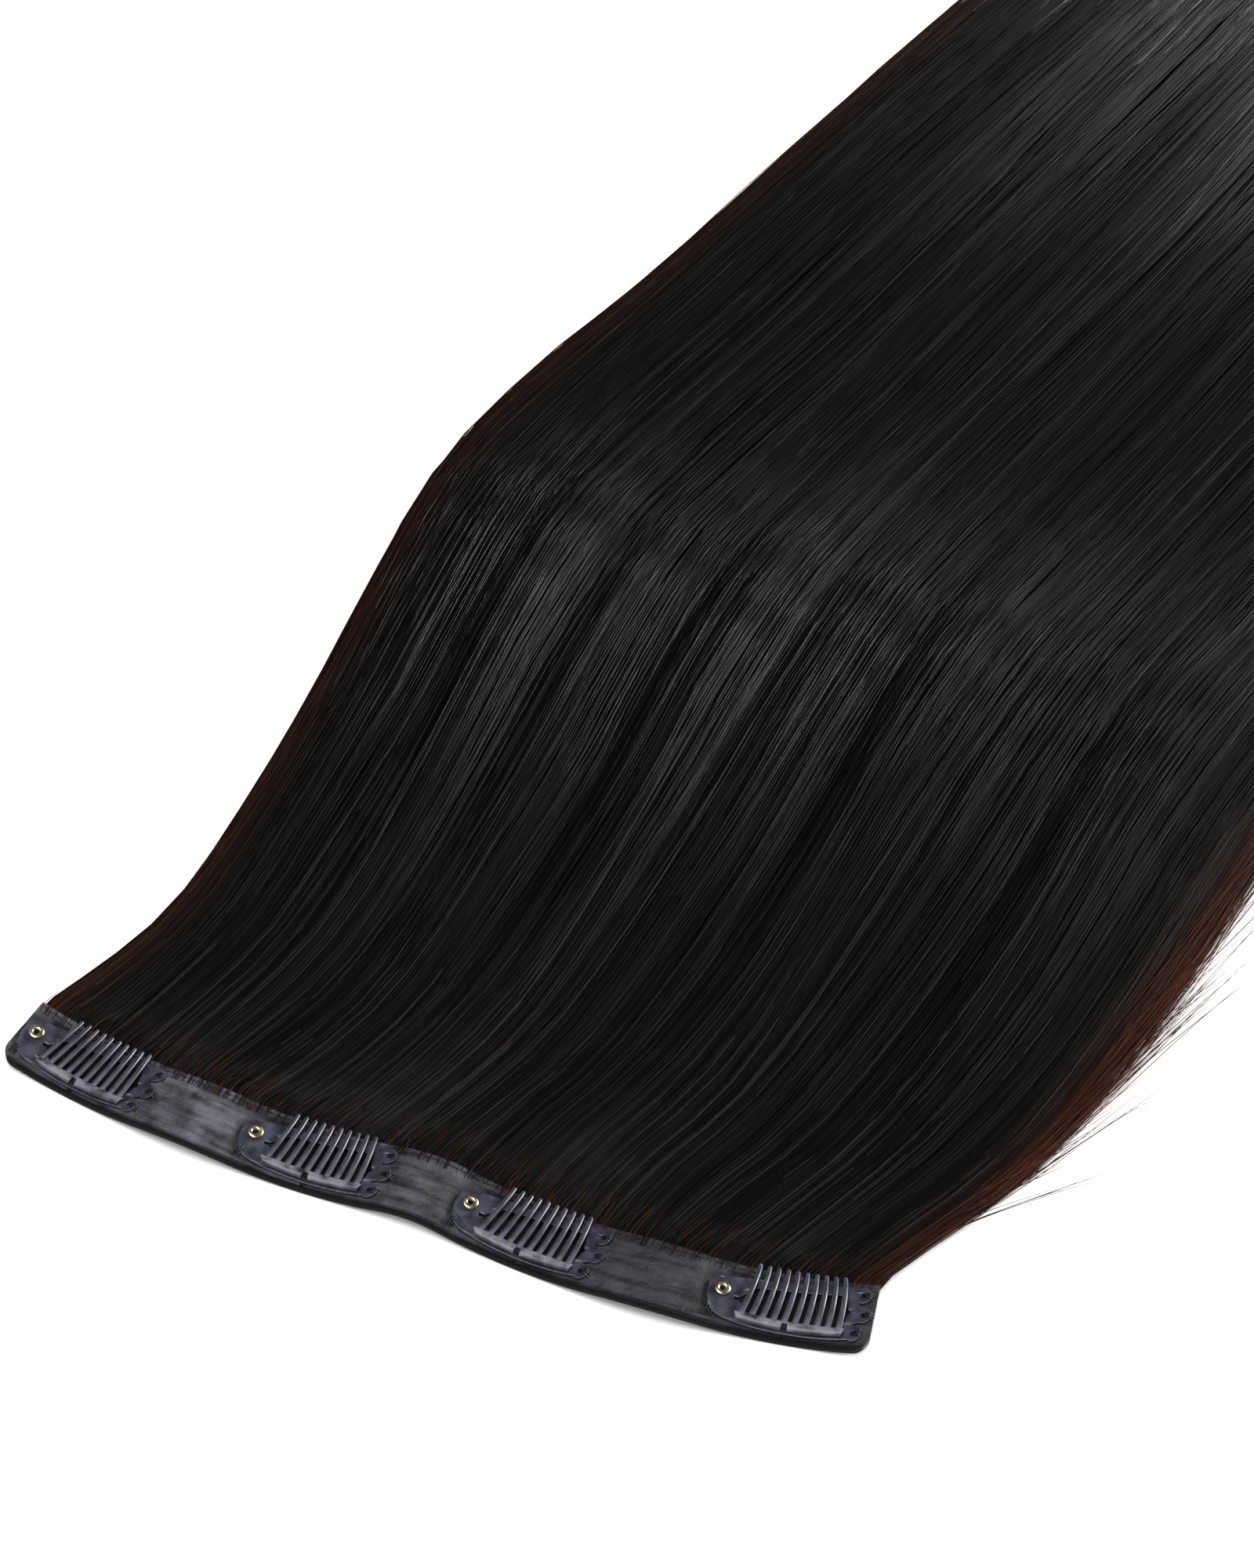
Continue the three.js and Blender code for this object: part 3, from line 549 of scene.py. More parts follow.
def strand_tree():
    """Sweeps strands along the guide. Lowest and highest are shares of the hair's thickness."""
    tree, given = new_tree("strands", "Guide", STRAND_SIZES)
    drawn = {
        "start": (given["First"], given["Last"]),
        "depth": (given["Lowest"], given["Highest"]),
        "size": (0.65, 1.3),
        "tone": (0, 1),
        "reach": (given["Shortest"], given["Longest"]),
        "side": (given["Inmost"], 1),
    }
    roots = add(tree, "GeometryNodePoints", {"Count": given["Strands"]})
    for nth, (name, (low, high)) in enumerate(drawn.items(), 1):
        seed = add(tree, MATH, (given["Seed"], nth), operation="ADD")
        value = add(tree, CHANCE, {"Min": low, "Max": high, "Seed": seed})
        roots = add(tree, STORE, {"Geometry": roots, "Name": name, "Value": value})
    points_each = add(tree, MATH, (given["Steps"], 1), operation="ADD")
    strands, share = straight_curves(tree, roots, points_each)
    share = add(tree, MATH, (share, STRAND_CROWDING), operation="POWER")
    strands = add(tree, STORE, {"Geometry": strands, "Name": "run", "Value": share})
    run, start, depth, size, tone, reach, side = [
        add(tree, READ, {"Name": name})
        for name in ("run", "start", "depth", "size", "tone", "reach", "side")]

    # At its root a strand learns which lock it is in.
    lay = add(tree, READ, {"Name": "lay"}, data_type="FLOAT_VECTOR")
    at_root = add(tree, PLACE, (start, 0.5, 0.0))
    middle, half, end, part = [
        add(tree, SAMPLE, {"Mesh": given["Guide"], "Value": add(tree, READ, {"Name": name}),
                           "UV Map": lay, "Sample UV": at_root})
        for name in ("lock_middle", "lock_half", "lock_end", "lock_part")]
    end = add(tree, MATH, (end, reach), operation="MULTIPLY")
    part = add(tree, MIX, (PART_DELAY, part, 1.0), clamp_factor=False)

    # A lock's sides are shorter than its middle, and each wisp has its own length and place.
    wisp = add(tree, MATH, (start, given["Wisps"]), operation="MULTIPLY")
    wisp = add(tree, MATH, (wisp,), operation="FLOOR")
    own_place, own_cut = [
        add(tree, CHANCE, {"Min": low, "Max": high, "ID": wisp,
                           "Seed": add(tree, MATH, (given["Seed"], nth), operation="ADD")})
        for nth, low, high in ((7, 0.15, 0.85), (8, 0.0, 0.6))]
    off = add(tree, MATH, (start, middle), operation="SUBTRACT")
    off = add(tree, MATH, (off, half), operation="DIVIDE")
    shorter = add(tree, MATH, (off, off, own_cut), operation="MULTIPLY_ADD")
    shorter = add(tree, MATH, (shorter, given["Raggedness"]), operation="MULTIPLY")
    cut = add(tree, MATH, (1, shorter), operation="SUBTRACT")
    length = add(tree, MATH, (end, cut), operation="MULTIPLY")
    along = add(tree, MATH, (run, length), operation="MULTIPLY")

    # Neighbours gather into wisps, and more so towards their tips.
    wisp_place = add(tree, MATH, (wisp, own_place), operation="ADD")
    wisp_place = add(tree, MATH, (wisp_place, given["Wisps"]), operation="DIVIDE")
    pull = add(tree, RANGE, (along, 0.01, 0.6, 0.35, 1.0))
    at_tip = add(tree, RANGE, (run, 0.75, 1, 0, TIP_GATHERING))
    pull = add(tree, MATH, (pull, given["Gathering"], at_tip), operation="MULTIPLY_ADD")
    gathered = add(tree, MIX, (pull, start, wisp_place), clamp_factor=False)

    # Past the place where the locks part, a strand closes in on its lock's middle.
    parted = add(tree, RANGE, (along, part, 1, 0, 1))
    parted = add(tree, MATH, (parted, parted), operation="MULTIPLY")
    squeeze = add(tree, MIX, (parted, 1.0, STRAND_TIP_WIDTH), clamp_factor=False)
    closed = add(tree, MATH, (gathered, middle), operation="SUBTRACT")
    closed = add(tree, MATH, (closed, squeeze, middle), operation="MULTIPLY_ADD")

    # Neighbours sway together, and each strand wanders a little on its own.
    moves = []
    for lane, (lanes, pace), apart in ((start, SWAYS, 0.0), (tone, WANDERS, side)):
        lane = add(tree, MATH, (lane, lanes), operation="MULTIPLY")
        pace = add(tree, MATH, (along, pace), operation="MULTIPLY")
        spot = add(tree, PLACE, (lane, pace, apart))
        move = add(tree, NOISE, {"Vector": spot, "Scale": 1, "Detail": 1})
        moves.append(add(tree, MATH, (move, 0.5), operation="SUBTRACT"))
    swayed, own = moves
    moved = add(tree, MATH, (swayed, given["Sway"]), operation="MULTIPLY")
    moved = add(tree, MATH, (own, given["Wander"], moved), operation="MULTIPLY_ADD")
    loose = add(tree, RANGE, (along, 0, LOOSE_BY))
    across = add(tree, MATH, (moved, loose, closed), operation="MULTIPLY_ADD")
    across = add(tree, MATH, (across, 0.001), operation="MAXIMUM")
    across = add(tree, MATH, (across, 0.999), operation="MINIMUM")
    for name, value in {"across": across, "along": along}.items():
        strands = add(tree, STORE, {"Geometry": strands, "Name": name, "Value": value})
    across, along = [add(tree, READ, {"Name": name}) for name in ("across", "along")]

    # Its depth puts it between the hair's underside and its upper surface.
    place = add(tree, PLACE, (across, along, 0.0))
    surface = add(tree, "GeometryNodeInputPosition")
    surface = add(tree, SAMPLE, {"Mesh": given["Guide"], "Value": surface, "UV Map": lay,
                                 "Sample UV": place}, data_type="FLOAT_VECTOR")
    bottom = add(tree, READ, {"Name": "bottom"})
    bottom = add(tree, SAMPLE, {"Mesh": given["Guide"], "Value": bottom, "UV Map": lay, "Sample UV": place})
    lies = add(tree, SPLIT, {"Vector": surface}).outputs
    deep = add(tree, MATH, (own, DEPTH_WANDER, depth), operation="MULTIPLY_ADD")
    height = add(tree, MIX, (deep, bottom, lies["Z"]), clamp_factor=False)
    lowest = add(tree, MATH, (given["Width"], 0.6), operation="MULTIPLY")
    height = add(tree, MATH, (height, lowest), operation="MAXIMUM")

    # A stray hair leaves the others slowly, to one side, and ends free.
    away = add(tree, MATH, (own, STRAY_CURL, run), operation="MULTIPLY_ADD")
    for share in (run, run, side, given["Stray"]):
        away = add(tree, MATH, (away, share), operation="MULTIPLY")
    lift = add(tree, MATH, (away,), operation="ABSOLUTE")
    height = add(tree, MATH, (lift, STRAY_LIFT, height), operation="MULTIPLY_ADD")
    aside = add(tree, MATH, (lies["X"], away), operation="ADD")
    new_place = add(tree, PLACE, (aside, lies["Y"], height))
    strands = add(tree, "GeometryNodeSetPosition", {"Geometry": strands, "Position": new_place})

    thin_tip = add(tree, RANGE, (run, 0.8, 1, 1, TIP_GIRTH))
    girth = add(tree, MATH, (size, thin_tip), operation="MULTIPLY")
    half_width = add(tree, MATH, (given["Width"], 0.5), operation="MULTIPLY")
    section = add(tree, "GeometryNodeCurvePrimitiveCircle", {"Resolution": 3, "Radius": half_width})
    mesh = add(tree, "GeometryNodeCurveToMesh",
               {"Curve": strands, "Profile Curve": section, "Scale": girth, "Fill Caps": True})
    end_tree(tree, add(tree, "GeometryNodeSetShadeSmooth", {"Geometry": mesh}), given)
    return tree


def grown(name, source, tree, sizes):
    """Runs a node tree on a mesh with these sizes, and keeps the result as a plain mesh."""
    piece = placed(name, source)
    maker = piece.modifiers.new("maker", "NODES")
    maker.node_group = tree
    for socket in tree.interface.items_tree:
        if socket.in_out == "INPUT" and socket.name in sizes:
            maker[socket.identifier] = sizes[socket.name]
    depsgraph = bpy.context.evaluated_depsgraph_get()
    made = bpy.data.meshes.new_from_object(
        piece.evaluated_get(depsgraph), preserve_all_data_layers=True, depsgraph=depsgraph)
    piece.modifiers.remove(maker)
    made.name = name
    piece.data = made
    return piece


def black_hair(name, dark, light, brown):
    """Human hair: a near-black fibre with a clear cuticle, and red-brown where light gets into it."""
    # Packed hairs shade one another, which these fewer and thicker strands don't do enough.
    material, tree, shader = new_material(name, {"Roughness": 0.3, "IOR": 1.55, "Specular IOR Level": 0.27})
    tone, across, along = [add(tree, "ShaderNodeAttribute", attribute_name=part).outputs["Fac"]
                           for part in ("tone", "across", "along")]
    pale = add(tree, MATH, (tone, 6), operation="POWER")
    fibre = add(tree, MIX, (pale, linear(dark), linear(light)), data_type="RGBA")
    # Painted light: brown is drawn along the hair's two edges, where light shines through thin hair, and
    # dimmer near the roots on the right, as painted shade.
    left = add(tree, RANGE, (across, 0.045, 0.0, 0.0, 0.5))
    right = add(tree, RANGE, (across, 0.945, 1.0))
    from_root = add(tree, RANGE, (along, 0.02, 0.2, 0.4))
    right = add(tree, MATH, (right, from_root), operation="MULTIPLY")
    warmth = add(tree, MATH, (left, right), operation="MAXIMUM")
    warm_share = add(tree, MATH, (warmth, tone), operation="MULTIPLY")
    fill(tree, shader, {"Base Color": add(tree, MIX, (warm_share, fibre, linear(brown)), data_type="RGBA")})
    return material


guide_object = hair_guide()
guide_mesh = guide_object.data
bpy.data.objects.remove(guide_object)
strands_of = strand_tree()
strand_finish = black_hair("black_hair", 0x030303, 0x242322, 0x3A1A10)
stray_finish = black_hair("stray_hair", 0x0E0A09, 0x4A2818, 0x5A2E1A)

STRAND_LAYERS = {
    "hair_top_1": {"Seed": 11, "Lowest": 0.95},
    "hair_top_2": {"Seed": 23, "Lowest": 0.92, "Wisps": 64, "Gathering": 0.5},
    "hair_top_3": {"Seed": 29, "Lowest": 0.93, "Wisps": 90},
    "hair_inner": {"Seed": 37, "Strands": 800, "Steps": 20, "Lowest": 0.35, "Highest": 0.95, "Wander": 0.03},
    "hair_under": {"Seed": 51, "Strands": 500, "Steps": 20, "Lowest": 0.02, "Highest": 0.4},
    "hair_strays": {"Seed": 67, "Strands": 150, "Lowest": 0.4, "Highest": 1.05, "Width": 0.19 * MM,
                    "Shortest": 0.1, "Longest": 0.5, "Gathering": 0.0, "Wander": 0.03, "Stray": 15 * MM,
                    "Inmost": 0.0, "First": 0.96, "Material": stray_finish},
    "root_hairs": {"Seed": 83, "Strands": 700, "Steps": 8, "Lowest": 0.9, "Highest": 1.7,
                   "Width": 0.14 * MM, "Shortest": 0.01, "Longest": 0.025, "Raggedness": 0.0,
                   "Gathering": 0.0, "Stray": 1.1 * MM, "Material": stray_finish},
}
for name, layer in STRAND_LAYERS.items():
    strands_piece = grown(name, guide_mesh, strands_of, STRAND_SIZES | {"Material": strand_finish} | layer)
    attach(strands_piece, "weft")


# Each clip's frame is stamped from 0.5 mm spring steel and painted slate grey. It has a wide
# lower bar, a narrow upper bar, and three lobes at its wide end with holes to sew it on by.
CLIP_WIDTH = BAND_WIDTH - CLIP_INSET - 1.3
PLATE = 0.5
PLATE_EDGE = 0.14
PLATE_STRIP = 0.8
ROLL_STRIP = 0.3
LOWER_BAR = 2.6
UPPER_BAR = 2.2
LOBE_RADIUS = 2.0
SEWING_HOLE = 1.2
RIVET_INSET = 3.2
RIVET_DROP = 3.4
RIVET_SHANK = 2
WINDOW_START = RIVET_INSET + 2.7
WINDOW_END = CLIP_LENGTH - 4.6
WINDOW_TAPER = 5
WINDOW_FAR_TAPER = 1.7
WINDOW_POINT = 0.12
PAINT_DARK = 0x1C1C26
PAINT_PALE = 0x31313F
PAINT_WEAR_AND_SHEEN = 0x62626C

# The frame's lower and upper edge along it, as shares of the clip's length and width.
EDGE_ALONG = [0.01, 0.03, 0.08, 0.18, 0.34, 0.5, 0.66, 0.8, 0.9]
EDGE_LOW = [0.42, 0.24, 0.11, 0.045, 0.01, 0, 0.005, 0.025, 0.055]
EDGE_HIGH = [0.65, 0.71, 0.77, 0.82, 0.87, 0.91, 0.94, 0.965, 0.985]

# The three lobes of the wide end: how far each stops short of the clip's end, and its height.
LOBES = [(0.043, 0.17), (0.003, 0.5), (0.02, 0.84)]


def frame_low(x):
    """The frame's lower edge, in millimetres across the clip."""
    return through(EDGE_ALONG, EDGE_LOW, x / CLIP_LENGTH) * CLIP_WIDTH


def frame_high(x):
    """The frame's upper edge, in millimetres across the clip."""
    return through(EDGE_ALONG, EDGE_HIGH, x / CLIP_LENGTH) * CLIP_WIDTH


def arc(x, y, radius, start, end, steps):
    """Points on an arc, between two angles in degrees."""
    angles = np.radians(np.linspace(start, end, steps))
    return [(x + radius * math.cos(a), y + radius * math.sin(a)) for a in angles]


def plate(outlines, base, edge=PLATE_EDGE, rolled=None):
    """A stamped plate: flat outlines filled, with rounded edges, bowed along its length.
    A rolled plate is also arched across, from its low edge to its high edge, by a height."""
    curve = bpy.data.curves.new("stamping", "CURVE")
    curve.dimensions = "2D"
    curve.fill_mode = "BOTH"
    curve.extrude = PLATE / 2 - edge
    curve.bevel_depth = edge
    curve.bevel_resolution = 1
    curve.offset = -edge
    for outline in outlines:
        spline = curve.splines.new("POLY")
        spline.points.add(len(outline) - 1)
        spline.points.foreach_set("co", [c for x, y in outline for c in (x, y, 0, 1)])
        spline.use_cyclic_u = True
    stamping = placed("stamping", curve)
    depsgraph = bpy.context.evaluated_depsgraph_get()
    mesh = bpy.data.meshes.new_from_object(stamping.evaluated_get(depsgraph))
    bpy.data.objects.remove(stamping)
    shape = bmesh.new()
    shape.from_mesh(mesh)
    bmesh.ops.remove_doubles(shape, verts=shape.verts, dist=0.002)
    cuts = [((x, 0, 0), (1, 0, 0)) for x in np.arange(PLATE_STRIP, CLIP_LENGTH, PLATE_STRIP)]
    if rolled:
        cuts += [((0, y, 0), (0, 1, 0)) for y in np.arange(ROLL_STRIP, rolled[1], ROLL_STRIP)]
    for place, normal in cuts:
        parts = [*shape.verts, *shape.edges, *shape.faces]
        bmesh.ops.bisect_plane(shape, geom=parts, dist=1e-4, plane_co=place, plane_no=normal)
    if rolled:
        low_edge, high_edge, height = rolled
        # The roll's share across the strip is also kept as the mask of the painted highlight on its crest.
        painted_light = shape.verts.layers.float.new("painted_light")
        for vertex in shape.verts:
            low = low_edge(vertex.co.x)
            off = 2 * (vertex.co.y - low) / (high_edge - low) - 1
            vertex[painted_light] = max(0, 1 - off * off)
            vertex.co.z += height * vertex[painted_light]
    for vertex in shape.verts:
        x = vertex.co.x
        vertex.co.z += base + PLATE / 2 + CLIP_BOW * (2 * x / CLIP_LENGTH - 1) ** 2
    bmesh.ops.recalc_face_normals(shape, faces=shape.faces)
    shape.to_mesh(mesh)
    shape.free()
    return mesh


def clip_place(k):
    """Where clip k sits on the band, as a matrix from its own millimetres to the part's metres."""
    corner = band_point(clip_starts[k], CLIP_INSET, 0)
    corner[2] = 0
    turn = Matrix.Rotation(clip_headings[k], 4, "Z")
    return Matrix.Scale(MM, 4) @ Matrix.Translation(corner) @ turn


def frame_plate():
    """The stamped frame, with its window, its eyelet's hole and the three sewing holes."""
    along = np.linspace(EDGE_ALONG[0], EDGE_ALONG[-1], 60) * CLIP_LENGTH
    outline = [(x, frame_low(x)) for x in along]
    rivet_up = frame_high(RIVET_INSET) - RIVET_DROP
    holes = [arc(RIVET_INSET, rivet_up, RIVET_SHANK / 2 + GAP, 0, 350, 24)]
    for short, up in LOBES:
        x = CLIP_LENGTH * (1 - short) - LOBE_RADIUS
        outline += arc(x, up * CLIP_WIDTH, LOBE_RADIUS, -105, 105, 16)
        holes.append(arc(x + 0.3, up * CLIP_WIDTH, SEWING_HOLE / 2, 0, 340, 14))
    outline += [(x, frame_high(x)) for x in along[::-1]]
    window = WINDOW_START + (WINDOW_END - WINDOW_START) * (1 - np.cos(np.linspace(0, math.pi, 40))) / 2
    low, high = frame_low(window) + LOWER_BAR, frame_high(window) - UPPER_BAR
    opened = smooth((window - WINDOW_START) / WINDOW_TAPER) * smooth((WINDOW_END - window) / WINDOW_FAR_TAPER)
    half = np.maximum(opened, WINDOW_POINT) * (high - low) / 2
    holes.append([*zip(window, (low + high) / 2 - half), *zip(window[::-1], ((low + high) / 2 + half)[::-1])])
    return plate([outline, *holes], BAND_THICKNESS + GAP)


def painted_steel():
    """Spring steel dipped in slate-grey paint: a low gloss with small sags, worn paler on edges, and a
    painted highlight along the strip's roll.
    """
    material, tree, shader = new_material("painted_steel", {})
    place = add(tree, "ShaderNodeTexCoord").outputs["Object"]
    blots = add(tree, NOISE, {"Vector": place, "Scale": 1 / (3 * MM), "Detail": 3})
    share = add(tree, RANGE, (blots, 0.35, 0.65))
    colour = add(tree, MIX, (share, linear(PAINT_DARK), linear(PAINT_PALE)), data_type="RGBA")
    wear_and_sheen = add(tree, RANGE,
               (add(tree, "ShaderNodeNewGeometry").outputs["Pointiness"], 0.53, 0.62))
    # Painted highlight: the roll of the comb's root strip is drawn pale, as if catching the light.
    painted_light = add(tree, "ShaderNodeAttribute", attribute_name="painted_light").outputs["Fac"]
    painted_light = add(tree, MATH, (painted_light, share), operation="MULTIPLY")
    wear_and_sheen = add(tree, MATH, (painted_light, 1.4, wear_and_sheen), operation="MULTIPLY_ADD")
    colour = add(tree, MIX, (wear_and_sheen, colour, linear(PAINT_WEAR_AND_SHEEN)), data_type="RGBA")
    grain = add(tree, NOISE, {"Vector": place, "Scale": 1 / (0.5 * MM), "Detail": 2})
    gloss = add(tree, RANGE, (blots, 0.3, 0.7, 0.3, 0.44))
    bump = add(tree, "ShaderNodeBump", {"Height": grain, "Distance": 0.06 * MM, "Strength": 0.35})
    fill(tree, shader, {"Base Color": colour, "Roughness": gloss, "Normal": bump})
    return material


def clip_piece(name, mesh, k, material, node, body):
    """One piece of clip k: a copy of a mesh put in its place, which stands for its CAD node."""
    mesh = mesh.copy()
    mesh.transform(clip_place(k))
    mesh.name = name
    mesh.materials.clear()
    mesh.materials.append(material)
    mesh.shade_smooth()
    mesh.set_sharp_from_angle(angle=math.radians(40))
    piece = placed(name, mesh)
    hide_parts(node)
    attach(piece, body)
    return piece


clip_paint = painted_steel()
frame_mesh = frame_plate()
for k in clips:
    clip_piece(f"clip_{k + 1}_plate", frame_mesh, k, clip_paint, f"clip_{k + 1}_frame", "weft")


# The comb is the part of a clip that snaps up and down. Its ten teeth are stamped in one with a
# root strip that is hinged along the lower bar. They arch over the upper bar and close up a
# little towards their tips, which reach past the band into the hair.
TEETH = 10
FIRST_TOOTH = WINDOW_START + 2.1
LAST_TOOTH = WINDOW_END - 1.7
TIP_LEAN = 2.1
TIP_CLOSING = 2.7
TOOTH_ROOT_WIDTH = 1.3
TOOTH_TIP_WIDTH = 0.85
TOOTH_BULGE = 0.5
TOOTH_ARCH = 0.9
TOOTH_LAP = 0.6
ROOT_STRIP = LOWER_BAR + 0.3
ROOT_END = 1.2
ROOT_INSET = 0.5
ROOT_EDGE = 0.2
ROOT_ROLL = 0.45
TOOTH_LENGTH = CLIP_WIDTH + 1.5 - ROOT_STRIP
COMB_BASE = BAND_THICKNESS + 2 * GAP + PLATE
NOTCH_HALF = 0.7
NOTCH_TOP = ROOT_STRIP - 0.8
TOOTH_STEPS = 25
TOOTH_SIDES = 10


def root_strip():
    """The strip that carries the teeth, with a notch at its middle for the sewing thread."""
    start, end = FIRST_TOOTH - ROOT_END, LAST_TOOTH + ROOT_END
    middle = CLIP_LENGTH / 2
    low = lambda x: frame_low(x) + ROOT_INSET
    outline = [(start, ROOT_STRIP), (start, ROOT_STRIP - 0.6)]
    outline += [(x, low(x)) for x in np.linspace(start + 0.5, middle - NOTCH_HALF, 14)]
    outline += [(middle - NOTCH_HALF * 0.8, NOTCH_TOP), (middle + NOTCH_HALF * 0.8, NOTCH_TOP)]
    outline += [(x, low(x)) for x in np.linspace(middle + NOTCH_HALF, end - 0.5, 14)]
    outline += [(end, ROOT_STRIP - 0.6), (end, ROOT_STRIP)]
    return plate([outline], COMB_BASE, edge=ROOT_EDGE, rolled=(low, ROOT_STRIP, ROOT_ROLL))


TOOTH_SIZES = {
    "Teeth": TEETH,
    "First Root": FIRST_TOOTH,
    "Last Root": LAST_TOOTH,
    "Tip Lean": TIP_LEAN,
    "Tip Closing": TIP_CLOSING,
    "Foot": ROOT_STRIP - TOOTH_LAP,
    "Length": TOOTH_LENGTH + TOOTH_LAP,
    "Bulge": TOOTH_BULGE,
    "Arch": TOOTH_ARCH,
    "Root Width": TOOTH_ROOT_WIDTH,
    "Tip Width": TOOTH_TIP_WIDTH,
    "Base": COMB_BASE + PLATE / 2,
}


def tooth_tree():
    """Sweeps the teeth from the root strip and joins them to it."""
    tree, given = new_tree("teeth", "Strip", TOOTH_SIZES)
    feet = add(tree, "GeometryNodePoints", {"Count": given["Teeth"]})
    last = add(tree, MATH, (given["Teeth"], 1), operation="SUBTRACT")
    share = add(tree, MATH, (add(tree, "GeometryNodeInputIndex"), last), operation="DIVIDE")
    feet = add(tree, STORE, {"Geometry": feet, "Name": "share", "Value": share})
    teeth, run = straight_curves(tree, feet, TOOTH_STEPS)
    run = add(tree, MATH, (run, math.pi / 2), operation="MULTIPLY")
    run = add(tree, MATH, (run,), operation="SINE")
    teeth = add(tree, STORE, {"Geometry": teeth, "Name": "run", "Value": run})
    run, share = [add(tree, READ, {"Name": name}) for name in ("run", "share")]

    # Along the band a tooth leans from its root to its tip, with a bulge between.
    root = add(tree, MIX, (share, given["First Root"], given["Last Root"]))
    first_tip = add(tree, MATH, (given["First Root"], given["Tip Lean"]), operation="ADD")
    last_tip = add(tree, MATH, (given["Last Root"], given["Tip Lean"]), operation="ADD")
    last_tip = add(tree, MATH, (last_tip, given["Tip Closing"]), operation="SUBTRACT")
    tip = add(tree, MIX, (share, first_tip, last_tip))
    left = add(tree, MATH, (1, run), operation="SUBTRACT")
    hump = add(tree, MATH, (run, left), operation="MULTIPLY")
    hump = add(tree, MATH, (hump, 4), operation="MULTIPLY")
    x = add(tree, MATH, (hump, given["Bulge"], add(tree, MIX, (run, root, tip))), operation="MULTIPLY_ADD")
    y = add(tree, MATH, (run, given["Length"], given["Foot"]), operation="MULTIPLY_ADD")

    # Upwards it follows the clip's bow, and arches over the upper bar.
    from_middle = add(tree, MATH, (x, 2 / CLIP_LENGTH, -1), operation="MULTIPLY_ADD")
    bow = add(tree, MATH, (from_middle, from_middle), operation="MULTIPLY")
    bow = add(tree, MATH, (bow, CLIP_BOW, given["Base"]), operation="MULTIPLY_ADD")
    arch = add(tree, MATH, (run, math.pi), operation="MULTIPLY")
    arch = add(tree, MATH, (arch,), operation="SINE")
    z = add(tree, MATH, (arch, given["Arch"], bow), operation="MULTIPLY_ADD")
    laid = add(tree, PLACE, (x, y, z))
    teeth = add(tree, "GeometryNodeSetPosition", {"Geometry": teeth, "Position": laid})
    teeth = add(tree, "GeometryNodeSetCurveNormal", {"Curve": teeth}, mode="Z_UP")

    # The last twentieth of each tooth rounds off.
    tip_off = add(tree, RANGE, (run, 0.95, 1.0))
    rounding = add(tree, MATH, (tip_off, tip_off), operation="MULTIPLY")
    rounding = add(tree, MATH, (1.04, rounding), operation="SUBTRACT")
    rounding = add(tree, MATH, (rounding,), operation="SQRT")
    girth = add(tree, MIX, (run, given["Root Width"], given["Tip Width"]))
    girth = add(tree, MATH, (girth, rounding), operation="MULTIPLY")
    section = add(tree, "GeometryNodeCurvePrimitiveCircle", {"Resolution": TOOTH_SIDES, "Radius": 0.5})
    section = add(tree, "GeometryNodeTransform", {"Geometry": section, "Scale": (1, PLATE, 1)})
    teeth = add(tree, "GeometryNodeCurveToMesh",
                {"Curve": teeth, "Profile Curve": section, "Scale": girth, "Fill Caps": True})
    comb = add(tree, "GeometryNodeJoinGeometry")
    tree.links.new(given["Strip"], comb.inputs[0])
    tree.links.new(teeth.outputs[0], comb.inputs[0])
    end_tree(tree, comb, given)
    return tree


comb_object = grown("comb", root_strip(), tooth_tree(), TOOTH_SIZES | {"Material": clip_paint})
comb_mesh = comb_object.data
bpy.data.objects.remove(comb_object)
for k in clips:
    node, body = f"clip_{k + 1}_comb", f"comb_{k + 1}"
    clip_piece(f"clip_{k + 1}_teeth", comb_mesh, k, clip_paint, node, body)


# A turned brass eyelet closes the narrow end of each clip. Its rim is rolled over the plate and
# its bore is open. The brass is bright, with a thin brown tarnish in the roll.
RIVET_FLANGE = 3.5
RIVET_BORE = 1.2
RIVET_HEAD = 0.45
RIVET_ROLL_LIP = 0.08
EYELET_SIDES = 40
BRASS_BRIGHT = 0xECE4C0
BRASS_TARNISH = 0xB09A64


def eyelet():
    """A closed ring: a shank through the plate, and a rim that is rolled over it."""
    bore, shank, flange = RIVET_BORE / 2, RIVET_SHANK / 2, RIVET_FLANGE / 2
    seat = PLATE + GAP
    roll_middle, roll = (bore + flange) / 2, (flange - bore) / 2
    rolled = [(roll_middle + roll * math.cos(a),
               seat + RIVET_ROLL_LIP + (RIVET_HEAD - RIVET_ROLL_LIP) * math.sin(a))
              for a in np.linspace(0, math.pi, 13)]
    profile = np.array([(bore, 0), (shank, 0), (shank, seat), (flange - 0.06, seat), *rolled])
    angles = np.linspace(0, 2 * math.pi, EYELET_SIDES, endpoint=False)
    radius, height = profile[:, 0][None, :], profile[:, 1][None, :]
    points = np.stack(np.broadcast_arrays(
        radius * np.cos(angles)[:, None], radius * np.sin(angles)[:, None], height), -1).reshape(-1, 3)
    grid = np.arange(len(points)).reshape(EYELET_SIDES, -1)
    around, down = np.roll(grid, -1, axis=0), np.roll(grid, -1, axis=1)
    faces = np.stack([grid, around, np.roll(around, -1, axis=1), down], -1).reshape(-1, 4)
    tilt = -math.atan(8 * CLIP_BOW * (RIVET_INSET - CLIP_LENGTH / 2) / CLIP_LENGTH ** 2)
    bow = CLIP_BOW * (2 * RIVET_INSET / CLIP_LENGTH - 1) ** 2
    base = Vector((RIVET_INSET, frame_high(RIVET_INSET) - RIVET_DROP, BAND_THICKNESS + GAP + bow))
    mesh = bpy.data.meshes.new("eyelet")
    mesh.from_pydata(points.tolist(), [], faces.tolist())
    mesh.transform(Matrix.Translation(base) @ Matrix.Rotation(tilt, 4, "Y"))
    return mesh


